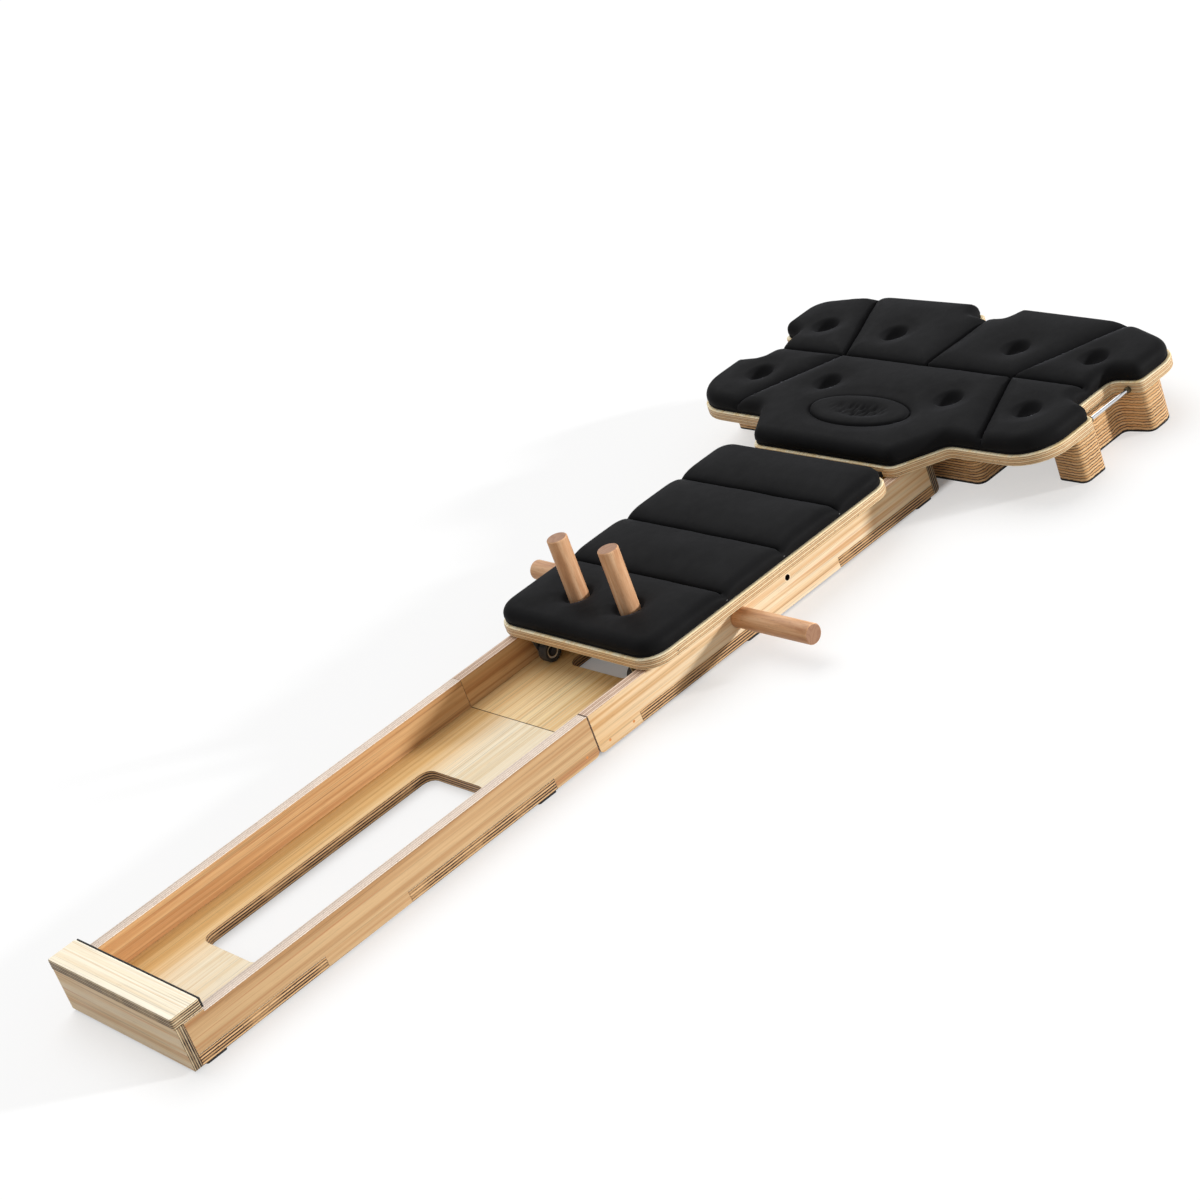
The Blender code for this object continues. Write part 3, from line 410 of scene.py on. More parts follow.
def veneer(look, along, colours, seed):
    """Face veneer: long bands with finer lines, sparse warm streaks, fibres and pores along the grain."""
    light, middle, dark, warm = colours
    bands = look.noise(BAND_WIDTH, along, 110, wander=0.05, seed=seed)
    colour = look.ramp(bands, (0.37, dark), (0.47, middle), (0.57, light))
    streaks = look.noise(STREAK_WIDTH, along, 110, seed=seed + 3)
    colour = look.mix(look.ramp(streaks, (0.59, 0.0), (0.68, 0.60)), colour, warm)
    threads = look.noise(THREAD_WIDTH, along, 170, detail=1, seed=seed + 4)
    colour = look.darkened(colour, threads, (0.62, 1.0), (0.68, 0.72), 0.85)
    lines = look.noise(LINE_WIDTH, along, 70, detail=3, roughness=0.6, seed=seed + 5)
    colour = look.darkened(colour, lines, (0.34, 0.86), (0.58, 1.0), 0.7)
    fibres = look.noise(FIBRE_WIDTH, along, 40, detail=3, roughness=0.7, seed=seed + 7)
    colour = look.darkened(colour, fibres, (0.30, 0.84), (0.55, 1.0), 0.55)
    pores = look.noise(PORE_WIDTH, along, 14, detail=1, seed=seed + 11)
    colour = look.darkened(colour, pores, (0.68, 1.0), (0.76, 0.72), 0.5)
    return colour, fibres


def ply_level(look, across, span, plies, seed):
    """Counts the plies across a board, a little unevenly."""
    low, high = span
    above = look.math("SUBTRACT", look.part(look.place, across), low)
    straight = look.math("MULTIPLY", above, plies.count / (high - low))
    swayed = look.swayed(straight, look.noise(SWAY_SIZE, seed=seed), plies.waver * 2)
    return look.swayed(swayed, look.noise(SHIVER_SIZE, seed=seed + 5), plies.waver)


def glue_line(look, level, share, seed):
    """Where the dark lines between the plies are, and how strong they are there."""
    from_middle = look.math("ABSOLUTE", look.math("SUBTRACT", look.math("FRACT", level), 0.5))
    lined = look.ramp(look.math("MULTIPLY", from_middle, 2.0), (1 - 2 * share, 0.0), (1 - share, 1.0))
    fade = look.noise(LINE_FADE, detail=3, seed=seed)
    return lined, look.math("MULTIPLY", lined, look.ramp(fade, (0.30, 0.45), (0.55, 1.0)))


def layers(look, across, span, plies, seed):
    """The cut edge of plywood: plies of two kinds between thin dark glue lines, and sparse voids."""
    level = ply_level(look, across, span, plies, seed)
    ply = look.math("FLOOR", level)
    cross = look.math("MODULO", look.math("ABSOLUTE", ply), 2.0)
    colour = look.mix(cross, *plies.colours)
    chance = look.give(look.add("TexWhiteNoise", noise_dimensions="1D"), W=look.math("ADD", ply, seed))
    colour = look.darkened(colour, chance.outputs[0], (0.0, 0.82), (1.0, 1.0), 0.8)
    grain = look.noise(CUT_GRAIN, detail=3, roughness=0.8, seed=seed + 9)
    roughened = look.math("ADD", 0.25, look.math("MULTIPLY", cross, 0.35))
    colour = look.darkened(colour, grain, (0.30, 0.62), (0.58, 1.0), roughened)
    lined, strength = glue_line(look, level, plies.line_share, seed + 13)
    colour = look.mix(strength, colour, plies.line)
    voids = look.noise(VOID_SIZE, across, 0.30, detail=1, seed=seed + 15)
    colour = look.mix(look.ramp(voids, (0.69, 0.0), (0.74, 0.85)), colour, VOID_SHADE)
    return colour, look.math("SUBTRACT", grain, look.math("MULTIPLY", lined, 0.8))


def tinted(look, colour, axis, span, strength, tint):
    """The colour under a tint that grows from nothing to its strength between two places along an axis."""
    start, end = span
    share = look.math("DIVIDE", look.math("SUBTRACT", look.part(look.place, axis), start), end - start)
    return look.mix(look.ramp(share, (0.0, 0.0), (1.0, strength)), colour, tint, blend="MULTIPLY")


def seam_lined(look, node, colour):
    """The colour with a dark line at the fold, save on the faces that look along the track."""
    from_seam = look.math("ABSOLUTE", look.math("SUBTRACT", look.part(look.place, "X"), SEAM_PLACE))
    at_seam = look.math("LESS_THAN", from_seam, SEAM_LINES.get(node, SEAM_LINE))
    sideways = look.math("LESS_THAN", look.facing("X"), SEAM_FACING)
    return look.mix(look.math("MULTIPLY", at_seam, sideways), colour, SEAM_SHADE)


def plywood(node, across, along, face, plies, seed, face_limit=FACE_LIMIT, marks=()):
    """A board's finish: veneer where the surface faces across the board, and its plies on every other side."""
    span = [corner[AXES[across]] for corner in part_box(node)]
    look = Look(node)
    face_colour, face_height = veneer(look, along, face, seed)
    if node in TINTS:
        face_colour = tinted(look, face_colour, *TINTS[node])
    edge_colour, edge_height = layers(look, across, span, plies, seed)
    is_face = look.math("GREATER_THAN", look.facing(across), face_limit)
    colour = look.marked(look.mix(is_face, edge_colour, face_colour), marks)
    look.set(Base_Color=seam_lined(look, node, colour))
    gloss = look.noise(0.012, along, 6, detail=3, seed=seed + 17)
    look.set(Roughness=look.ramp(gloss, (0.3, 0.42), (0.7, 0.60)), Specular_IOR_Level=0.35)
    look.bump(look.mix(is_face, edge_height, face_height), WOOD_RELIEF, 0.6)
    return look.material


PINE = (tone(254, 232, 198), tone(247, 217, 174), tone(232, 193, 145), tone(216, 152, 96))
PINE_WARM = (tone(218, 182, 136), tone(206, 166, 120), tone(190, 146, 100), tone(184, 122, 76))
# Painted shade: a darker, warmer copy of the pine for the left walls, whose inner faces lie in shade inside the
# track
PINE_PAINTED_SHADE = (tone(214, 172, 122), tone(202, 155, 105), tone(184, 134, 86), tone(172, 114, 66))
BIRCH = (tone(250, 234, 204), tone(246, 227, 191), tone(240, 216, 174), tone(230, 198, 150))
WALL_FACES = {"front": PINE_WARM, "back": PINE}
# Floor veneers; the back floor's is a deeper, more golden copy, as painted shade for the warm bounce under the
# carriage
FLOOR_FACES = {
    "front": (tone(255, 240, 210), tone(251, 232, 196), tone(243, 219, 176), tone(232, 200, 150)),
    "back": (tone(253, 224, 170), tone(248, 212, 154), tone(239, 198, 134), tone(222, 172, 106)),
}
# Tints along the pieces: the back right wall darker towards the fold and the front right wall darker towards its
# front end; on the floors, painted shade that grows towards the left wall
TINTS = {
    "wall_back_right": ("X", (0.06, -0.16), 1.0, tone(234, 218, 196)),
    "wall_front_right": ("X", (-0.50, -0.80), 1.0, tone(238, 237, 234)),
    "floor_front": ("Y", FLOOR_PAINTED_SHADE_SPAN, 1.0, FLOOR_PAINTED_SHADE),
    "floor_back": ("Y", FLOOR_PAINTED_SHADE_SPAN, 0.4, FLOOR_PAINTED_SHADE),
}
BOARD_BIRCH = (tone(255, 242, 208), tone(255, 235, 192), tone(250, 222, 168), tone(240, 204, 146))
CAP_BIRCH = (tone(255, 244, 222), tone(250, 236, 208), tone(242, 222, 188), tone(230, 202, 160))
CREAM_PLIES = (tone(236, 212, 172), tone(212, 180, 138))
DARK_LINE = tone(44, 30, 24)
WALL_PLIES = {
    "front": Plies((tone(246, 232, 216), tone(228, 206, 188)), tone(168, 136, 116), 9, 0.14, 0.20),
    "back": Plies((tone(236, 208, 184), tone(214, 180, 154)), tone(112, 72, 50), 5, 0.14, 0.20),
}
FLOOR_PLIES = Plies((tone(236, 192, 140), tone(218, 172, 120)), tone(52, 30, 20), 4, 0.34, 0.10)
END_PLIES = Plies(CREAM_PLIES, DARK_LINE, 4, 0.56, 0.04)
CAP_PLIES = Plies(CREAM_PLIES, DARK_LINE, 5, 0.36, 0.06)
BOARD_PLIES = Plies((tone(250, 224, 180), tone(233, 192, 144)), tone(110, 66, 34), 6, 0.14, 0.22)
BLOCK_PLIES = Plies((tone(246, 203, 150), tone(232, 181, 124)), tone(66, 36, 20), 14, 0.20, 0.70)
NAIL_SHADE = tone(214, 140, 78)
# The hole's pale rim, and the dark of its bore as painted shade
BORE_RIM_AND_PAINTED_SHADE = (tone(246, 224, 190), tone(38, 24, 16))


# Cloth, rubber, plastic and metal


FABRIC_DARK = (0.0078, 0.0078, 0.0083, 1.0)
FABRIC_LIGHT = (0.0112, 0.0112, 0.0118, 1.0)
PEBBLES_PER_METRE = 900.0
HUB_DARK = (0.012, 0.012, 0.013, 1.0)
BEECH = (tone(186, 132, 92), tone(212, 162, 120), tone(230, 188, 148))
BEECH_ENDS = (tone(168, 127, 99), tone(158, 116, 89))
BEECH_RINGS = 70.0


def pad_fabric():
    """Black soft leathercloth with a fine pebble, faint cloudiness and a low sheen."""
    look = Look("pad_fabric")
    cloud = look.noise(0.090, detail=4, roughness=0.6, seed=4)
    look.set(Base_Color=look.ramp(cloud, (0.3, FABRIC_DARK), (0.7, FABRIC_LIGHT)))
    pebble = look.give(look.add("TexVoronoi", look.place, feature="SMOOTH_F1"), Scale=PEBBLES_PER_METRE)
    fine = look.noise(0.0006, detail=3, roughness=0.7, seed=8)
    height = look.math("ADD", pebble.outputs["Distance"], look.math("MULTIPLY", fine, 0.5))
    look.bump(height, 0.00010, 0.40)
    wear = look.noise(0.020, detail=5, roughness=0.7, seed=12)
    look.set(Roughness=look.ramp(wear, (0.3, 0.54), (0.7, 0.64)), Specular_IOR_Level=0.035)
    look.set(Sheen_Weight=0.05, Sheen_Roughness=0.28, Sheen_Tint=(0.86, 0.88, 1.0, 1.0))
    return look.material


def rubber(name, shade, roughness=0.7):
    """Rubber or plastic of one grey shade, faintly speckled and dusty."""
    look = Look(name)
    speckle = look.noise(0.0012, detail=4, roughness=0.8, seed=2)
    dark = (shade * 0.7, shade * 0.7, shade * 0.72, 1.0)
    light = (shade * 1.3, shade * 1.3, shade * 1.32, 1.0)
    look.set(Base_Color=look.ramp(speckle, (0.35, dark), (0.65, light)), Specular_IOR_Level=0.3)
    dust = look.noise(0.010, detail=4, seed=5)
    look.set(Roughness=look.ramp(dust, (0.3, roughness - 0.08), (0.7, roughness + 0.08)))
    look.bump(speckle, 0.0001, 0.4)
    return look.material


def metal(name, colour, roughness, along=None):
    """Sheet or bar with a brushed or rolled surface."""
    look = Look(name)
    brushed = look.noise(0.0006, along, 40, detail=3, roughness=0.7, seed=1)
    stain = look.noise(0.015, detail=4, seed=6)
    dim = tuple(value * 0.82 for value in colour[:3]) + (1.0,)
    look.set(Base_Color=look.ramp(stain, (0.35, dim), (0.65, colour)), Metallic=1.0)
    look.set(Roughness=look.ramp(brushed, (0.3, roughness * 0.8), (0.7, roughness * 1.25)))
    look.bump(brushed, 0.00003, 0.3)
    return look.material


def beech(name, along, seed):
    """Turned beech: pinkish brown with short dark flecks along the peg, and a paler ringed end."""
    look = Look(name)
    streaks = look.noise(0.007, along, 14, detail=4, roughness=0.6, wander=0.4, seed=seed)
    dark, middle, light = BEECH
    colour = look.ramp(streaks, (0.32, dark), (0.5, middle), (0.68, light))
    flecks = look.noise(0.0010, along, 7, seed=seed + 3)
    colour = look.darkened(colour, flecks, (0.60, 1.0), (0.72, 0.66), 0.7)
    fibres = look.noise(0.0007, along, 40, detail=3, roughness=0.7, seed=seed + 5)
    colour = look.darkened(colour, fibres, (0.3, 0.82), (0.55, 1.0), 0.5)
    pores = look.noise(0.0008, detail=3, roughness=0.8, seed=seed + 9)
    growth = look.math("SINE", look.math("MULTIPLY", look.noise(0.030, detail=1, seed=seed + 4), BEECH_RINGS))
    pale, deep = BEECH_ENDS
    end_colour = look.ramp(growth, (0.0, pale), (1.0, deep))
    end_colour = look.darkened(end_colour, pores, (0.35, 0.7), (0.6, 1.0), 0.6)
    is_end = look.math("GREATER_THAN", look.facing(along), 0.9)
    look.set(Base_Color=look.mix(is_end, colour, end_colour))
    look.set(Roughness=look.ramp(streaks, (0.3, 0.45), (0.7, 0.58)), Specular_IOR_Level=0.35)
    look.bump(look.mix(is_end, fibres, pores), 0.00015, 0.5)
    return look.material


# Meshes


def dress(node, material):
    """Gives a node that keeps its own shape a finish."""
    NODES[node].material_slots[0].material = material


def linked(name, data):
    made = bpy.data.objects.new(name, data)
    bpy.context.scene.collection.objects.link(made)
    return made


def finished(name, shape, material, node, angle=35):
    """An object of a bmesh in frame coordinates, riding with a node's body."""
    mesh = bpy.data.meshes.new(name)
    bmesh.ops.recalc_face_normals(shape, faces=shape.faces)
    shape.to_mesh(mesh)
    shape.free()
    mesh.shade_smooth()
    mesh.set_sharp_from_angle(angle=math.radians(angle))
    mesh.materials.append(material)
    made = linked(name, mesh)
    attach(made, body_of(NODES[node])[0])
    return made


def welded(node):
    """A copy of a node's mesh whose faces share their corners."""
    shape = bmesh.new()
    shape.from_mesh(NODES[node].data)
    bmesh.ops.remove_doubles(shape, verts=shape.verts, dist=WELD)
    return shape


def solid_of(node):
    """A welded copy of a node's mesh with its flat faces whole again."""
    shape = welded(node)
    bmesh.ops.dissolve_limit(shape, angle_limit=FLAT_ANGLE, verts=shape.verts, edges=shape.edges, delimit={"NORMAL"})
    return shape


def softened(node, material, width=WOOD_EASE, segments=2):
    """The node again with its sharp edges slightly rounded, as sanded or pressed pieces have."""
    made = finished(f"{node}_shown", solid_of(node), material, node)
    rounding = made.modifiers.new("ease", "BEVEL")
    rounding.width = width
    rounding.segments = segments
    rounding.limit_method = "ANGLE"
    rounding.angle_limit = EASED_ANGLE
    rounding.harden_normals = True
    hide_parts(node)


# Pads


def base_outline(node):
    """The closed line round the underside of a pad's solid, and the height of that underside."""
    shape = welded(node)
    low = min(vert.co.z for vert in shape.verts)
    under = {face for face in shape.faces if all(vert.co.z < low + LEVEL_GAP for vert in face.verts)}
    rim = [edge for edge in shape.edges if sum(face in under for face in edge.link_faces) == 1]
    loops = chained(rim)
    shape.free()
    return max(loops, key=lambda loop: np.ptp(loop[:, 0])), low


def chained(rim):
    """The loops that some edges form, each as its points seen from above, from its foremost point on."""
    nexts = {}
    for edge in rim:
        for a, b in (edge.verts, reversed(edge.verts)):
            nexts.setdefault(a, []).append(b)
    loops = []
    left = set(nexts)
    while left:
        loop = [min(left, key=lambda vert: tuple(vert.co))]
        left.discard(loop[0])
        while True:
            onward = [vert for vert in nexts[loop[-1]] if vert in left]
            if not onward:
                break
            loop.append(onward[0])
            left.discard(onward[0])
        loops.append(np.array([vert.co.xy for vert in loop]))
    return loops


def rounded_line(points, step):
    """The closed line with its corners softened and its points one step apart."""
    closed = np.concatenate((points, points[:1]))
    reach = np.concatenate(([0.0], np.cumsum(np.linalg.norm(np.diff(closed, axis=0), axis=1))))
    count = round(reach[-1] / step) * OUTLINE_FINENESS
    spacing = reach[-1] / count
    places = np.arange(count) * spacing
    fine = np.stack([np.interp(places, reach, closed[:, axis]) for axis in (0, 1)], axis=1)
    shifts = np.arange(-OUTLINE_SPAN, OUTLINE_SPAN + 1)
    weights = np.exp(-0.5 * (shifts * spacing / OUTLINE_SOFTNESS) ** 2)
    smooth = sum(weight * np.roll(fine, shift, axis=0) for weight, shift in zip(weights, shifts))
    return (smooth / weights.sum())[::OUTLINE_FINENESS]


def moved_in(line, distance):
    """The closed line moved inwards."""
    ahead = np.roll(line, -1, axis=0) - np.roll(line, 1, axis=0)
    ahead /= np.linalg.norm(ahead, axis=1)[:, None]
    x, y = line.T
    area = np.sum(x * np.roll(y, -1) - np.roll(x, -1) * y)
    inward = np.stack((-ahead[:, 1], ahead[:, 0]), axis=1) * math.copysign(1.0, area)
    return line + inward * distance


def distance(points, starts, ends):
    """Each point's distance to the nearest of the straight pieces."""
    nearest = np.full(len(points), FAR)
    for start, end in zip(starts, ends):
        along = end - start
        share = np.clip((points - start) @ along / (along @ along), 0, 1)
        gap = np.linalg.norm(points - start - share[:, None] * along, axis=1)
        nearest = np.minimum(nearest, gap)
    return nearest


def from_lines(points, lines):
    """Each point's distance to the nearest of the open lines."""
    starts, ends = (np.array(side) for side in zip(*lines))
    return distance(points, starts, ends)


def from_loop(points, loop):
    """Each point's distance to a closed line."""
    return distance(points, loop, np.roll(loop, -1, axis=0))


def within(points, line):
    """Which points lie inside the closed line."""
    odd = np.zeros(len(points), bool)
    for start, end in zip(line, np.roll(line, -1, axis=0)):
        if start[1] == end[1]:
            continue
        between = (start[1] > points[:, 1]) != (end[1] > points[:, 1])
        reach = start[0] + (points[:, 1] - start[1]) / (end[1] - start[1]) * (end[0] - start[0])
        odd ^= between & (reach > points[:, 0])
    return odd


def swell(share):
    """Rises from 0 to 1 as a quarter circle."""
    return np.sqrt(1 - (1 - np.clip(share, 0, 1)) ** 2)


def ease(share):
    """Rises from 0 to 1 with a level start and end."""
    share = np.clip(share, 0, 1)
    return share * share * (3 - 2 * share)


def dome(reach):
    """Rises from 0 at an edge to 1 where a panel's crown is level."""
    return 1 - (1 - np.clip(reach / CROWN_REACH, 0, 1)) ** 2


def ripple(points, size, seed):
    """A smooth uneven field between -1 and 1 with marks of about this size."""
    chance = np.random.RandomState(seed)
    total = np.zeros(len(points))
    for _ in range(WAVES):
        turn = chance.uniform(0, math.tau)
        wave = math.tau / (size * chance.uniform(0.7, 1.6))
        heading = np.array((math.cos(turn), math.sin(turn)))
        total += np.sin(points @ heading * wave + chance.uniform(0, math.tau))
    return total / (WAVES / 2)


def circle(centre, radius, sides=HOLE_SIDES):
    turns = np.arange(sides) / sides * math.tau
    return np.array(centre) + radius * np.stack((np.cos(turns), np.sin(turns)), axis=1)


def staggered(low, high, step, row_step, shift):
    """Points in rows over a rectangle, with every second row shifted."""
    across = np.arange(low[0], high[0], step)
    along = np.arange(low[1], high[1], row_step)
    return np.array([(x + k % 2 * shift, y) for k, y in enumerate(along) for x in across])


def places_of(mesh):
    """The places of a mesh's points."""
    flat = np.empty(len(mesh.vertices) * 3)
    mesh.vertices.foreach_get("co", flat)
    return flat.reshape(-1, 3)


class Pad:
    """A puffed pad on a board: crowned panels between sunk seams, with pits round the peg holes."""

    def __init__(self, node, seams, pits, pit, oval=None, *, seed):
        base, self.low = base_outline(node)
        self.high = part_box(node)[1].z + PAD_LIFT[node]
        self.outline = moved_in(rounded_line(base, OUTLINE_STEP), -PAD_BULGE)
        self.seams = seams
        self.pits = pits
        self.pit = pit
        self.oval = oval
        self.seed = seed
        self.node = node

    def levels(self, points):
        """The height of the pad's top over each point."""
        from_edge = from_loop(points, self.outline)
        from_seam = from_lines(points, self.seams)
        rise = swell(from_edge / PAD_EDGE_ROUND)
        fall = 1 - swell(from_seam / SEAM_ROUND)
        side = PAD_SIDE * (1 - PAD_SIDE_TUCK * fall)
        level = self.low + side + (self.high - self.low - side) * rise * (1 - SEAM_CUT * fall)
        level += CROWN * dome(from_edge) * dome(from_seam)
        level += WAVE_HEIGHT * ease(from_edge / WAVE_REACH) * ripple(points, WAVE_SIZE, self.seed)
        level -= CREASE_DEPTH * rise * (1 - ease(from_seam / CREASE_WIDTH))
        tuck = np.exp(-from_seam / TUCK_REACH) * (1 - np.exp(-from_seam / TUCK_START))
        level += TUCK_HEIGHT * rise * tuck * ripple(points, TUCK_SIZE, self.seed + 1)
        if self.oval is not None:
            self.shape_oval(points, level)
        for pit in self.pits:
            self.sink_pit(points, level, pit)
        return np.maximum(level, self.low + PAD_LEAST)

    def oval_reach(self, points, depth, half_width):
        """Each point's distance from the oval's middle, as a share of an ellipse's size there."""
        return np.linalg.norm((points - self.oval.mean(axis=0)) / (depth, half_width), axis=1)

    def shape_oval(self, points, level):
        """Sinks the level along the oval's groove and in its middle, with gathers there."""
        from_oval = from_loop(points, self.oval)
        reach = self.oval_reach(points, OVAL_DEPTH, OVAL_HALF_WIDTH)
        near = 1 - swell(from_oval / GROOVE_ROUND)
        wide = 1 - ease(from_oval / GROOVE_SPREAD)
        wide_share, near_share = GROOVE_SHARES
        outer = OVAL_GROOVE * (wide_share * wide + near_share * near)
        level -= np.where(reach < 1, OVAL_GROOVE * near, outer)
        level -= OVAL_CREASE * (1 - ease(from_oval / CREASE_WIDTH))
        level -= OVAL_DISH * (1 - ease((reach - DISH_START) / DISH_FALL))
        aside = self.oval_reach(points, GATHER_DEPTH, GATHER_HALF_WIDTH)
        drawn = 1 - ease((aside - GATHER_FADE) / GATHER_FADE)
        level += GATHER_HEIGHT * drawn * ripple(points * GATHER_STRETCH, GATHER_SIZE, self.seed + 3)

    def sink_pit(self, points, level, pit):
        """Sinks the level round a peg hole."""
        reach = np.linalg.norm(points - pit, axis=1) - self.pit["radius"]
        level -= self.pit["depth"] * (1 - ease(reach / self.pit["spread"]))
        level -= self.pit["roll_depth"] * (1 - ease(reach / self.pit["roll"]))
        tuck = np.exp(-np.abs(reach) / PIT_TUCK_REACH)
        level += PIT_TUCK_HEIGHT * tuck * ripple(points, PIT_TUCK_SIZE, self.seed + 2)

    def spread(self):
        """The loops that bound the top, and every point of it."""
        loops = [self.outline] + [circle(pit, self.pit["radius"]) for pit in self.pits]
        rows = [moved_in(self.outline, row) for row in EDGE_ROWS]
        rings = [circle(pit, self.pit["radius"] + ring) for pit in self.pits for ring in PIT_RINGS]
        return loops, np.concatenate((*loops, *rows, *rings, self.seam_rows(), self.grid()))

    def seam_rows(self):
        """Close rows of points along the seams and the oval."""
        rows = []
        for start, end in self.seams:
            length = float(np.linalg.norm(end - start))
            side = np.array((start[1] - end[1], end[0] - start[0])) / length
            shares = np.linspace(0, 1, round(length / FABRIC_STEP) + 1)[:, None]
            middle = start + shares * (end - start)
            rows += [middle + side * shift for shift in SEAM_SHIFTS]
        if self.oval is not None:
            rows += [moved_in(self.oval, shift) for shift in SEAM_SHIFTS]
        return thinned(self.inner(np.concatenate(rows), ROW_ROOM), ROW_THINNING)

    def grid(self):
        """Even points over the rest of the top, closer together within the oval."""
        low, high = self.outline.min(axis=0), self.outline.max(axis=0)
        grid = staggered(low, high, FABRIC_STEP, FABRIC_STEP * math.sqrt(3) / 2, FABRIC_STEP / 2)
        if self.oval is not None:
            grid = np.concatenate((grid[~within(grid, self.oval)], self.gathers()))
        grid = self.inner(grid, FABRIC_STEP * GRID_ROOM)
        grid = grid[from_lines(grid, self.seams) > SEAM_ROWS[-1] + FABRIC_STEP * SEAM_ROOM]
        if self.oval is not None:
            grid = grid[from_loop(grid, self.oval) > SEAM_ROWS[-1] + GATHER_STEP * SEAM_ROOM]
        return grid

    def gathers(self):
        """Points close enough together for the gathers within the oval."""
        low, high = self.oval.min(axis=0), self.oval.max(axis=0)
        points = staggered(low, high, GATHER_ROWS, GATHER_STEP, GATHER_STEP)
        return points[within(points, moved_in(self.oval, GATHER_STEP))]

    def inner(self, points, room):
        """The points within the outline that leave room beside its rows and the pits' rings."""
        points = points[within(points, self.outline)]
        points = points[from_loop(points, self.outline) > EDGE_ROWS[-1] + room]
        return points[self.clear_of_pits(points, PIT_RINGS[-1] + room)]

    def clear_of_pits(self, points, reach):
        """Which points lie further than this from every pit."""
        clear = np.ones(len(points), bool)
        for pit in self.pits:
            clear &= np.linalg.norm(points - pit, axis=1) > self.pit["radius"] + reach
        return clear

    def skin(self, shape, points, loops, heights):
        """Triangles between the outline and the pits, over the points at their heights."""
        edges = []
        start = 0
        for loop in loops:
            ids = list(range(start, start + len(loop)))
            edges += list(zip(ids, ids[1:] + ids[:1]))
            start += len(loop)
        corners = [Vector(point) for point in points]
        flat, _, faces, _, _, _ = delaunay_2d_cdt(corners, edges, [], 0, SKIN_EXACTNESS, True)
        flat = np.array(flat)
        faces = np.array(faces)
        middles = flat[faces].mean(axis=1)
        kept = within(middles, loops[0]) & self.clear_of_pits(middles, -PIT_GRACE)
        verts = [shape.verts.new((x, y, z)) for (x, y), z in zip(flat, heights(flat))]
        for a, b, c in faces[kept]:
            shape.faces.new((verts[a], verts[b], verts[c]))
        return verts

    def wall(self, shape, loop, top, foot, rows):
        """Faces from a rim of the top to the underside, over rows at shares of the way in and the height."""
        upper = top
        for inset, share in rows:
            lower = []
            for (x, y), above in zip(moved_in(loop, PAD_BULGE * inset), top):
                lower.append(shape.verts.new((x, y, self.low + (above.co.z - self.low) * share)))
            sew(shape, upper, lower)
            upper = lower
        sew(shape, upper, foot)

    def build(self, name, material):
        """The pad's object, filled and hemmed."""
        loops, points = self.spread()
        shape = bmesh.new()
        rim = self.skin(shape, points, loops, self.levels)
        under = [moved_in(self.outline, PAD_BULGE), *loops[1:]]
        floor = self.skin(shape, np.concatenate(under), under, lambda flat: np.full(len(flat), self.low))
        start = 0
        for loop in loops:
            end = start + len(loop)
            self.wall(shape, loop, rim[start:end], floor[start:end], PIT_WALL_ROWS if start else PAD_ROWS)
            start = end
        loose = [vert for vert in shape.verts if not vert.link_faces]
        bmesh.ops.delete(shape, geom=loose, context="VERTS")
        made = finished(name, shape, material, self.node, angle=60)
        self.fill(made)
        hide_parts(self.node)
        self.hem(f"{name}_hem", material)

    def slack(self, places):
        """How far each point of the skin may move, from 0 where it is sewn or glued down to 1."""
        flat = places[:, :2]
        from_held = from_loop(flat, self.outline) - HELD_EDGE
        from_held = np.minimum(from_held, from_lines(flat, self.seams) - HELD_SEAM)
        if self.oval is not None:
            from_oval = from_loop(flat, self.oval) - HELD_SEAM
            reach = self.oval_reach(flat, OVAL_DEPTH, OVAL_HALF_WIDTH)
            from_held = np.where(reach < HELD_OVAL, 0.0, np.minimum(from_held, from_oval))
        for pit in self.pits:
            reach = np.linalg.norm(flat - pit, axis=1) - self.pit["radius"] - self.pit["roll"]
            from_held = np.minimum(from_held, reach)
        on_top = within(flat, self.outline) & (places[:, 2] > self.low + PAD_TOP)
        return np.where(on_top, ease(from_held / FIRM_WIDTH), 0.0)

    def fill(self, made):
        """Swells the skin as cloth under pressure between its seams, and keeps the swollen form."""
        start = places_of(made.data)
        slack = self.slack(start)
        group = made.vertex_groups.new(name="held")
        group.add([int(index) for index in np.flatnonzero(slack == 0)], 1.0, "REPLACE")
        cloth = pressed_cloth(made, group)
        for frame_number in range(1, CLOTH_FRAMES + 1):
            bpy.context.scene.frame_set(frame_number)
        swollen = made.evaluated_get(bpy.context.evaluated_depsgraph_get())
        move = evened(made, places_of(swollen.data) - start, slack)
        made.modifiers.remove(cloth)
        made.vertex_groups.clear()
        bpy.context.scene.frame_set(1)
        made.data.vertices.foreach_set("co", (start + move).ravel())
        made.data.update()

    def hem(self, name, material):
        """A narrow rolled hem round the foot of the pad."""
        line = moved_in(self.outline, PAD_BULGE - HEM_OUT)
        steps = np.arange(HEM_SIDES) / HEM_SIDES * math.tau
        uneven = 1 + HEM_UNEVENNESS * ripple(line, HEM_MARKS, self.seed + 5)
        shape = bmesh.new()
        rings = []
        for step in steps:
            ring = moved_in(line, -HEM_RADIUS * math.cos(step))
            height = self.low + HEM_RADIUS * (1 + math.sin(step) * uneven)
            rings.append([shape.verts.new((x, y, z)) for (x, y), z in zip(ring, height)])
        for index, ring in enumerate(rings):
            sew(shape, rings[index - 1], ring)
        made = finished(name, shape, material, self.node, angle=80)


def pressed_cloth(made, held):
    """The object as cloth that is blown up from within and pinned where a group of its points is held."""
    cloth = made.modifiers.new("cloth", "CLOTH")
    settings = cloth.settings
    for key, value in CLOTH_SETTINGS.items():
        setattr(settings, key, value)
    settings.effector_weights.gravity = 0
    settings.vertex_group_mass = held.name
    cloth.collision_settings.use_collision = False
    cloth.point_cache.frame_end = CLOTH_FRAMES
    return cloth


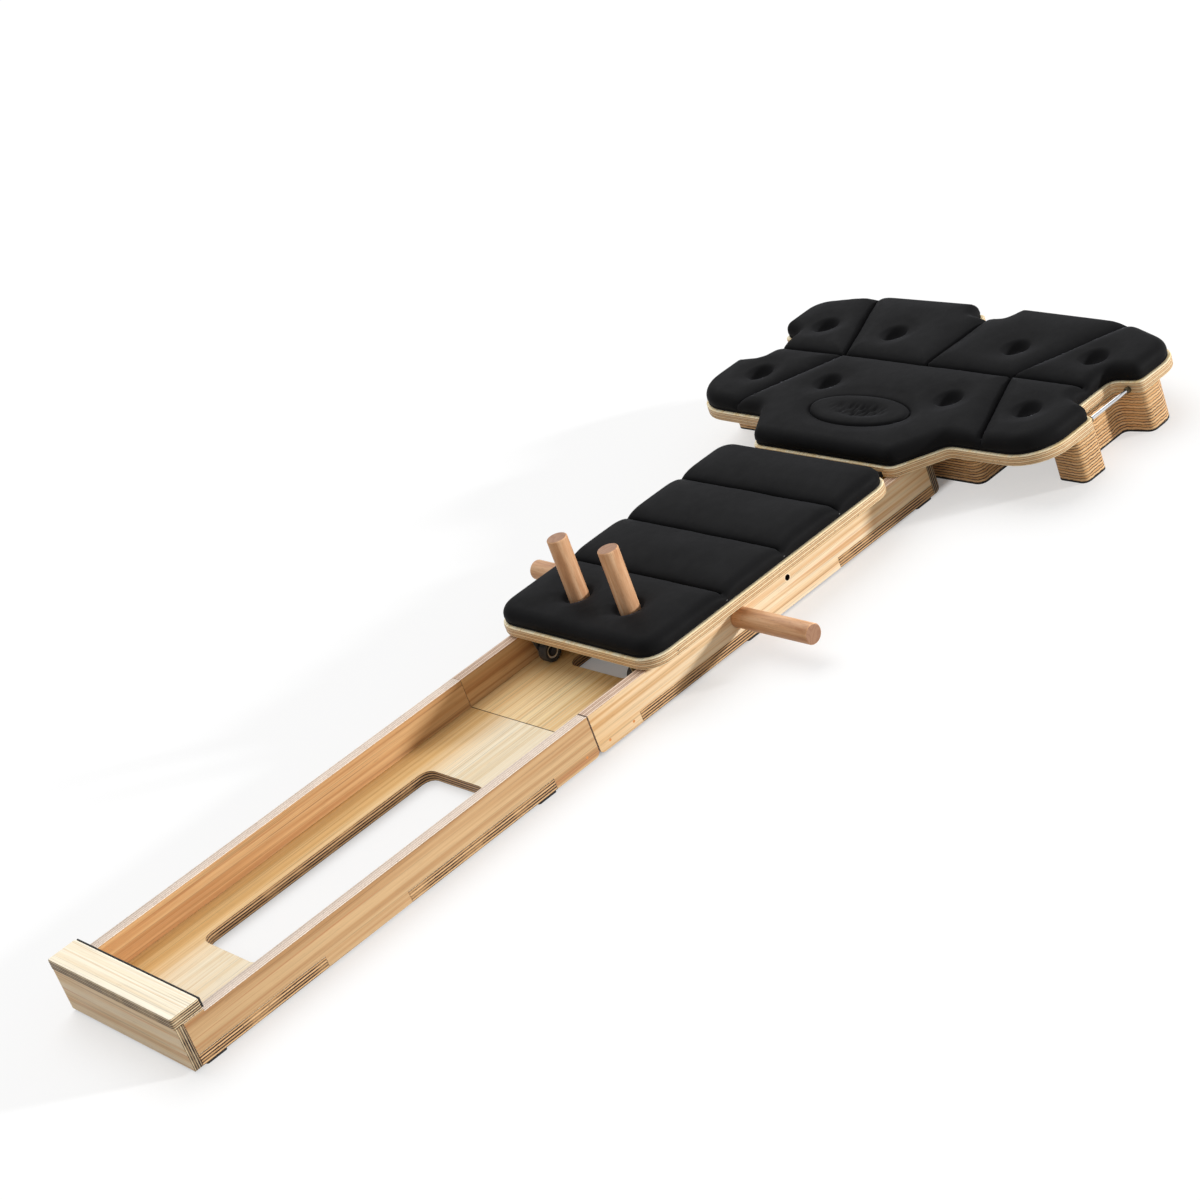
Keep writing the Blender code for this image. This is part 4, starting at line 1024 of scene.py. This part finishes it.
def evened(made, move, slack):
    """The cloth's moves without their sharpest folds, kept small and firm near whatever holds the skin."""
    edges = np.empty(len(made.data.edges) * 2, int)
    made.data.edges.foreach_get("vertices", edges)
    first, second = edges.reshape(-1, 2).T
    joined = np.bincount(edges, minlength=len(move))[:, None]
    for _ in range(CLOTH_EVENING):
        near = np.zeros_like(move)
        np.add.at(near, first, move[second])
        np.add.at(near, second, move[first])
        move = np.where(slack[:, None] > 0, near / joined, 0.0)
    reach = np.maximum(np.linalg.norm(move, axis=1, keepdims=True), 1e-9)
    return slack[:, None] * move * CLOTH_CAP * np.tanh(reach / CLOTH_CAP) / reach


def thinned(points, gap):
    """The points without those that fall in the same small cell as an earlier one."""
    cells = {}
    for point in points:
        cells.setdefault((round(point[0] / gap), round(point[1] / gap)), point)
    return np.array(list(cells.values()))


def sew(shape, upper, lower):
    for index in range(len(upper)):
        shape.faces.new((upper[index - 1], upper[index], lower[index], lower[index - 1]))


def flat_mirror(x, y):
    return [np.array((x, y)), np.array((x, -y))]


def pads(fabric):
    """The carriage's pad of four panels and the wing's with its oval."""
    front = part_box("carriage_board")[0].x
    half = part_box("carriage_board")[1].y
    pegs = [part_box(f"peg_upright_{word}") for word in HANDS]
    pits = [np.array(((low.x + high.x) / 2, (low.y + high.y) / 2)) for low, high in pegs]
    seams = [(np.array((front + x, -half)), np.array((front + x, half))) for x in CARRIAGE_SEAMS]
    Pad("carriage_pad", seams, pits, PEG_PIT, seed=3).build("carriage_cushion", fabric)

    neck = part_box("wing_board")[0].x
    joints = flat_mirror(neck + SEAM_JOINT[0], SEAM_JOINT[1])
    middle = np.array((neck + SEAM_JOINT[0], 0.0))
    seams = [tuple(joints), (middle, np.array((neck + WING_LENGTH, 0.0)))]
    for x, y in SEAM_ENDS:
        seams += zip(joints, flat_mirror(neck + x, y))
    pits = [np.array((neck + x, hand * y)) for x in PIT_ROWS for y in PIT_SPANS for hand in (1, -1)]
    turn = circle((0.0, 0.0), 1.0, OVAL_SIDES)
    oval = turn * (OVAL_DEPTH, OVAL_HALF_WIDTH) + (neck + OVAL_PLACE, 0.0)
    Pad("wing_pad", seams, pits, BARE_PIT, oval, seed=7).build("wing_cushion", fabric)


# Wooden pieces


def track():
    for place, side in enumerate(("front", "back")):
        for index, word in enumerate(HANDS):
            wall(side, word, 2.0 + 3 * place + index)
        node = f"floor_{side}"
        wood = plywood(node, "Z", "X", FLOOR_FACES[side], FLOOR_PLIES, 11.0 + place)
        softened(node, wood, FLOOR_EASE)
        node = f"end_board_{side}"
        softened(node, plywood(node, "X", "Y", PINE, END_PLIES, 15.0 + place), END_EASE)
    softened("end_cap", plywood("end_cap", "Z", "Y", CAP_BIRCH, CAP_PLIES, 19.0))


def wall(side, word, seed):
    """A side wall with its nails and, at the back, its round hole drawn on the face: a pale rim and a dark disc of
    painted shade for the bore.
    """
    node = f"wall_{side}_{word}"
    marks = [((x, 0.0, NAIL_HEIGHT), "Y", NAIL_RADIUS, NAIL_SHADE) for x in NAILS[side]]
    if side == "back":
        x, z = WALL_BORE
        # Painted shade: the bore is a dark disc drawn on the face
        rim, bore_painted_shade = BORE_RIM_AND_PAINTED_SHADE
        marks += [((x, 0.0, z), "Y", BORE_RADIUS + BORE_RIM, rim), ((x, 0.0, z), "Y", BORE_RADIUS, bore_painted_shade)]
    # The left walls take the darker pine as painted shade
    veneers = PINE_PAINTED_SHADE if word == "left" else WALL_FACES[side]
    wood = plywood(node, "Y", "X", veneers, WALL_PLIES[side], seed, marks=marks)
    softened(node, wood, WALL_EASE)


def boards():
    for node, seed in (("carriage_board", 23.0), ("wing_board", 27.0)):
        wood = plywood(node, "Z", "X", BOARD_BIRCH, BOARD_PLIES, seed, BOARD_FACE_LIMIT)
        softened(node, wood, BOARD_EASE, BOARD_SEGMENTS)


def blocks():
    for node, seed in (("leg_left", 31.0), ("leg_right", 34.0), ("neck_block", 37.0)):
        softened(node, plywood(node, "Z", "X", BIRCH, BLOCK_PLIES, seed), BLOCK_EASE)
        dress(f"{node}_sole", rubber(f"{node}_sole", 0.018))


def pegs():
    for word, hand in HANDS.items():
        for place, axis, seed in (("upright", "Z", 41.0), ("side", "Y", 45.0)):
            wood = beech(f"beech_{place}_{word}", axis, seed + hand)
            softened(f"peg_{place}_{word}", wood, PEG_EASE)


# Rubber, wheels and metal


def hardware():
    """Finishes of the pieces that keep their own meshes."""
    black = rubber("black_rubber", 0.016)
    finishes = {
        "foot_": black,
        "bumper_": black,
        "peg_socket_": rubber("socket_plastic", 0.022, 0.5),
        "hinge_": metal("hinge_zinc", tone(176, 178, 182), 0.36, "X"),
        "bracket_": metal("bracket_zinc", tone(168, 170, 174), 0.40, "Z"),
        "axle_": metal("bolt_steel", tone(88, 88, 92), 0.42),
        "notch_rod_": metal("rod_chrome", tone(224, 226, 230), 0.16, "X"),
        "tyre_": rubber("tyre_rubber", 0.045, 0.62),
        "wheel_hub_": hub_plastic(),
    }
    for node in NODES:
        for start, material in finishes.items():
            if node.startswith(start):
                dress(node, material)


def hub_plastic():
    """Black hubs with a pale moulded ring."""
    look = Look("hub_plastic")
    marks = []
    for node in sorted(NODES):
        if node.startswith("wheel_hub_") and node.endswith("_left"):
            low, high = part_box(node)
            marks.append(((low + high) / 2, "Y", RING_INNER, HUB_DARK))
    speckle = look.noise(0.0010, detail=4, roughness=0.8, seed=3)
    pale = look.ramp(speckle, (0.35, tone(206, 198, 186)), (0.65, tone(226, 220, 208)))
    look.set(Base_Color=look.marked(pale, marks), Specular_IOR_Level=0.4)
    look.set(Roughness=look.ramp(speckle, (0.3, 0.36), (0.7, 0.48)))
    look.bump(speckle, 0.00008, 0.3)
    return look.material


def collars():
    """A short dark sleeve where each steel rod enters the wing board's edge."""
    bronze = metal("collar_bronze", tone(96, 88, 70), 0.45, "X")
    for word in HANDS:
        low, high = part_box(f"notch_rod_{word}")
        middle = (low + high) / 2
        shape = bmesh.new()
        for x, heading in ((low.x + ROD_SEAT, 1), (high.x - ROD_SEAT, -1)):
            rings = []
            for along, radius in COLLAR_PROFILE:
                place = x + heading * COLLAR_LENGTH * along
                turned = circle((middle.y, middle.z), COLLAR_RADIUS * radius, TURNED_SIDES)
                rings.append([shape.verts.new((place, y, z)) for y, z in turned])
            for upper, lower in zip(rings, rings[1:]):
                sew(shape, upper, lower)
        finished(f"rod_collars_{word}", shape, bronze, f"notch_rod_{word}")


def tacks():
    """A grey thread tack where each seam of the carriage pad ends at the board."""
    thread = rubber("thread", 0.16, 0.8)
    low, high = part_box("carriage_pad")
    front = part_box("carriage_board")[0].x
    shape = bmesh.new()
    for seam in CARRIAGE_SEAMS:
        for edge in (low.y - TACK_OUT, high.y + TACK_OUT):
            middle = Vector((front + seam, edge, low.z + TACK_HEIGHT))
            bead = bmesh.ops.create_icosphere(shape, subdivisions=2, radius=TACK_RADIUS)["verts"]
            for vert in bead:
                vert.co.x *= TACK_LENGTH / (2 * TACK_RADIUS) * (1 - TACK_TAPER * abs(vert.co.z) / TACK_RADIUS)
                vert.co += middle
    finished("pad_thread_tacks", shape, thread, "carriage_pad")


def screws():
    """Domed screw heads with a crossed recess on the hinge leaves."""
    steel = metal("screw_steel", tone(150, 152, 156), 0.34)
    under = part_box("floor_back")[0].z
    for side in ("front", "back"):
        shape = bmesh.new()
        for word in HANDS:
            low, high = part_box(f"hinge_leaf_{side}_{word}")
            middle = (low + high) / 2
            for share in (-SCREW_SHARE[side], SCREW_SHARE[side]):
                place = Vector((middle.x + SCREW_SHIFT[side], middle.y + share * (high.y - low.y), under))
                screw_head(shape, place)
        finished(f"hinge_screws_{side}", shape, steel, f"hinge_leaf_{side}_left")


def screw_head(shape, place):
    """One head that faces down from the given place."""
    rings = []
    for reach, rise in SCREW_PROFILE:
        ring = []
        for index, (x, y) in enumerate(circle((0.0, 0.0), SCREW_RADIUS * reach, TURNED_SIDES)):
            in_recess = reach < RECESS_REACH and index % 6 in (0, 1, 5)
            depth = SCREW_RISE * (rise - RECESS_DEPTH * in_recess)
            ring.append(shape.verts.new(place + Vector((x, y, -depth))))
        rings.append(ring)
    for upper, lower in zip(rings, rings[1:]):
        sew(shape, upper, lower)
    shape.faces.new(rings[-1])


# Stage, light and camera


def stage():
    """A pale floor that the camera sees as near white; the object's shadow stays, lightened round the object by a
    painted glow.
    """
    shape = bmesh.new()
    bmesh.ops.create_grid(shape, x_segments=1, y_segments=1, size=STAGE_SIZE)
    mesh = bpy.data.meshes.new("floor")
    shape.to_mesh(mesh)
    shape.free()
    mesh.materials.append(stage_finish())
    linked("stage_floor", mesh)


def stage_finish():
    """White where it is seen, with painted light and shade: a strong white glow round the object and before the fold
    paints over its shadow there, and a weak one under the carriage leaves that shade darker; warm grey in what it
    reflects.
    """
    look = Look("stage_floor")
    rays = look.add("LightPath")
    seen = look.math("MAXIMUM", rays.outputs["Is Camera Ray"], rays.outputs["Is Glossy Ray"])
    look.set(Base_Color=look.mix(seen, GROUND_SHADE, GROUND_WHITE), Roughness=1.0, Specular_IOR_Level=0.0)
    from_middle = look.math("ABSOLUTE", look.part(look.place, "Y"))
    start, end = GLOW_SIDE
    aside = look.ramp(look.math("MULTIPLY", from_middle, SIDE_SCALE), (start, 0.0), (end, 1.0))
    before = look.math("LESS_THAN", look.part(look.place, "X"), SEAM_PLACE)
    # Painted light and shade: strong glow beside the track and before the fold, weak glow under the carriage
    painted_glow = look.mix(look.math("MAXIMUM", aside, before), GLOW_UNDER_PAINTED_SHADE, GLOW_ROUND_PAINTED_LIGHT)
    white = look.add("Emission")
    blend = look.add("MixShader", look.math("MULTIPLY", seen, painted_glow), look.shader.outputs[0], white.outputs[0])
    look.feed(look.tree.nodes["Material Output"].inputs["Surface"], blend.outputs[0])
    return look.material


def lights():
    world = bpy.data.worlds.new("studio")
    world.use_nodes = True
    background = world.node_tree.nodes["Background"]
    background.inputs["Color"].default_value = (1.0, 1.0, 1.0, 1.0)
    background.inputs["Strength"].default_value = SKY_LEVEL
    bpy.context.scene.world = world
    for name, direction, level, angle in (
        ("key", KEY_DIRECTION, KEY_LEVEL, KEY_ANGLE),
        ("top", TOP_DIRECTION, TOP_LEVEL, TOP_ANGLE),
    ):
        sun = bpy.data.lights.new(name, "SUN")
        sun.energy = level * math.pi
        sun.angle = angle
        lamp = linked(name, sun)
        lamp.rotation_mode = "QUATERNION"
        lamp.rotation_quaternion = Vector(direction).to_track_quat("-Z", "Y")


def camera():
    lens = bpy.data.cameras.new("camera")
    lens.lens = CAMERA_LENS
    lens.sensor_width = SENSOR
    lens.clip_end = CAMERA_REACH
    made = linked("camera", lens)
    turn = Matrix((CAMERA_RIGHT, CAMERA_UP, CAMERA_BACK)).transposed()
    made.matrix_world = Matrix.Translation(CAMERA_PLACE) @ turn.to_4x4()
    bpy.context.scene.camera = made
    bpy.context.scene.view_settings.view_transform = "Standard"


def main():
    track()
    boards()
    blocks()
    pegs()
    hardware()
    collars()
    tacks()
    screws()
    pads(pad_fabric())
    stage()
    lights()
    camera()


main()
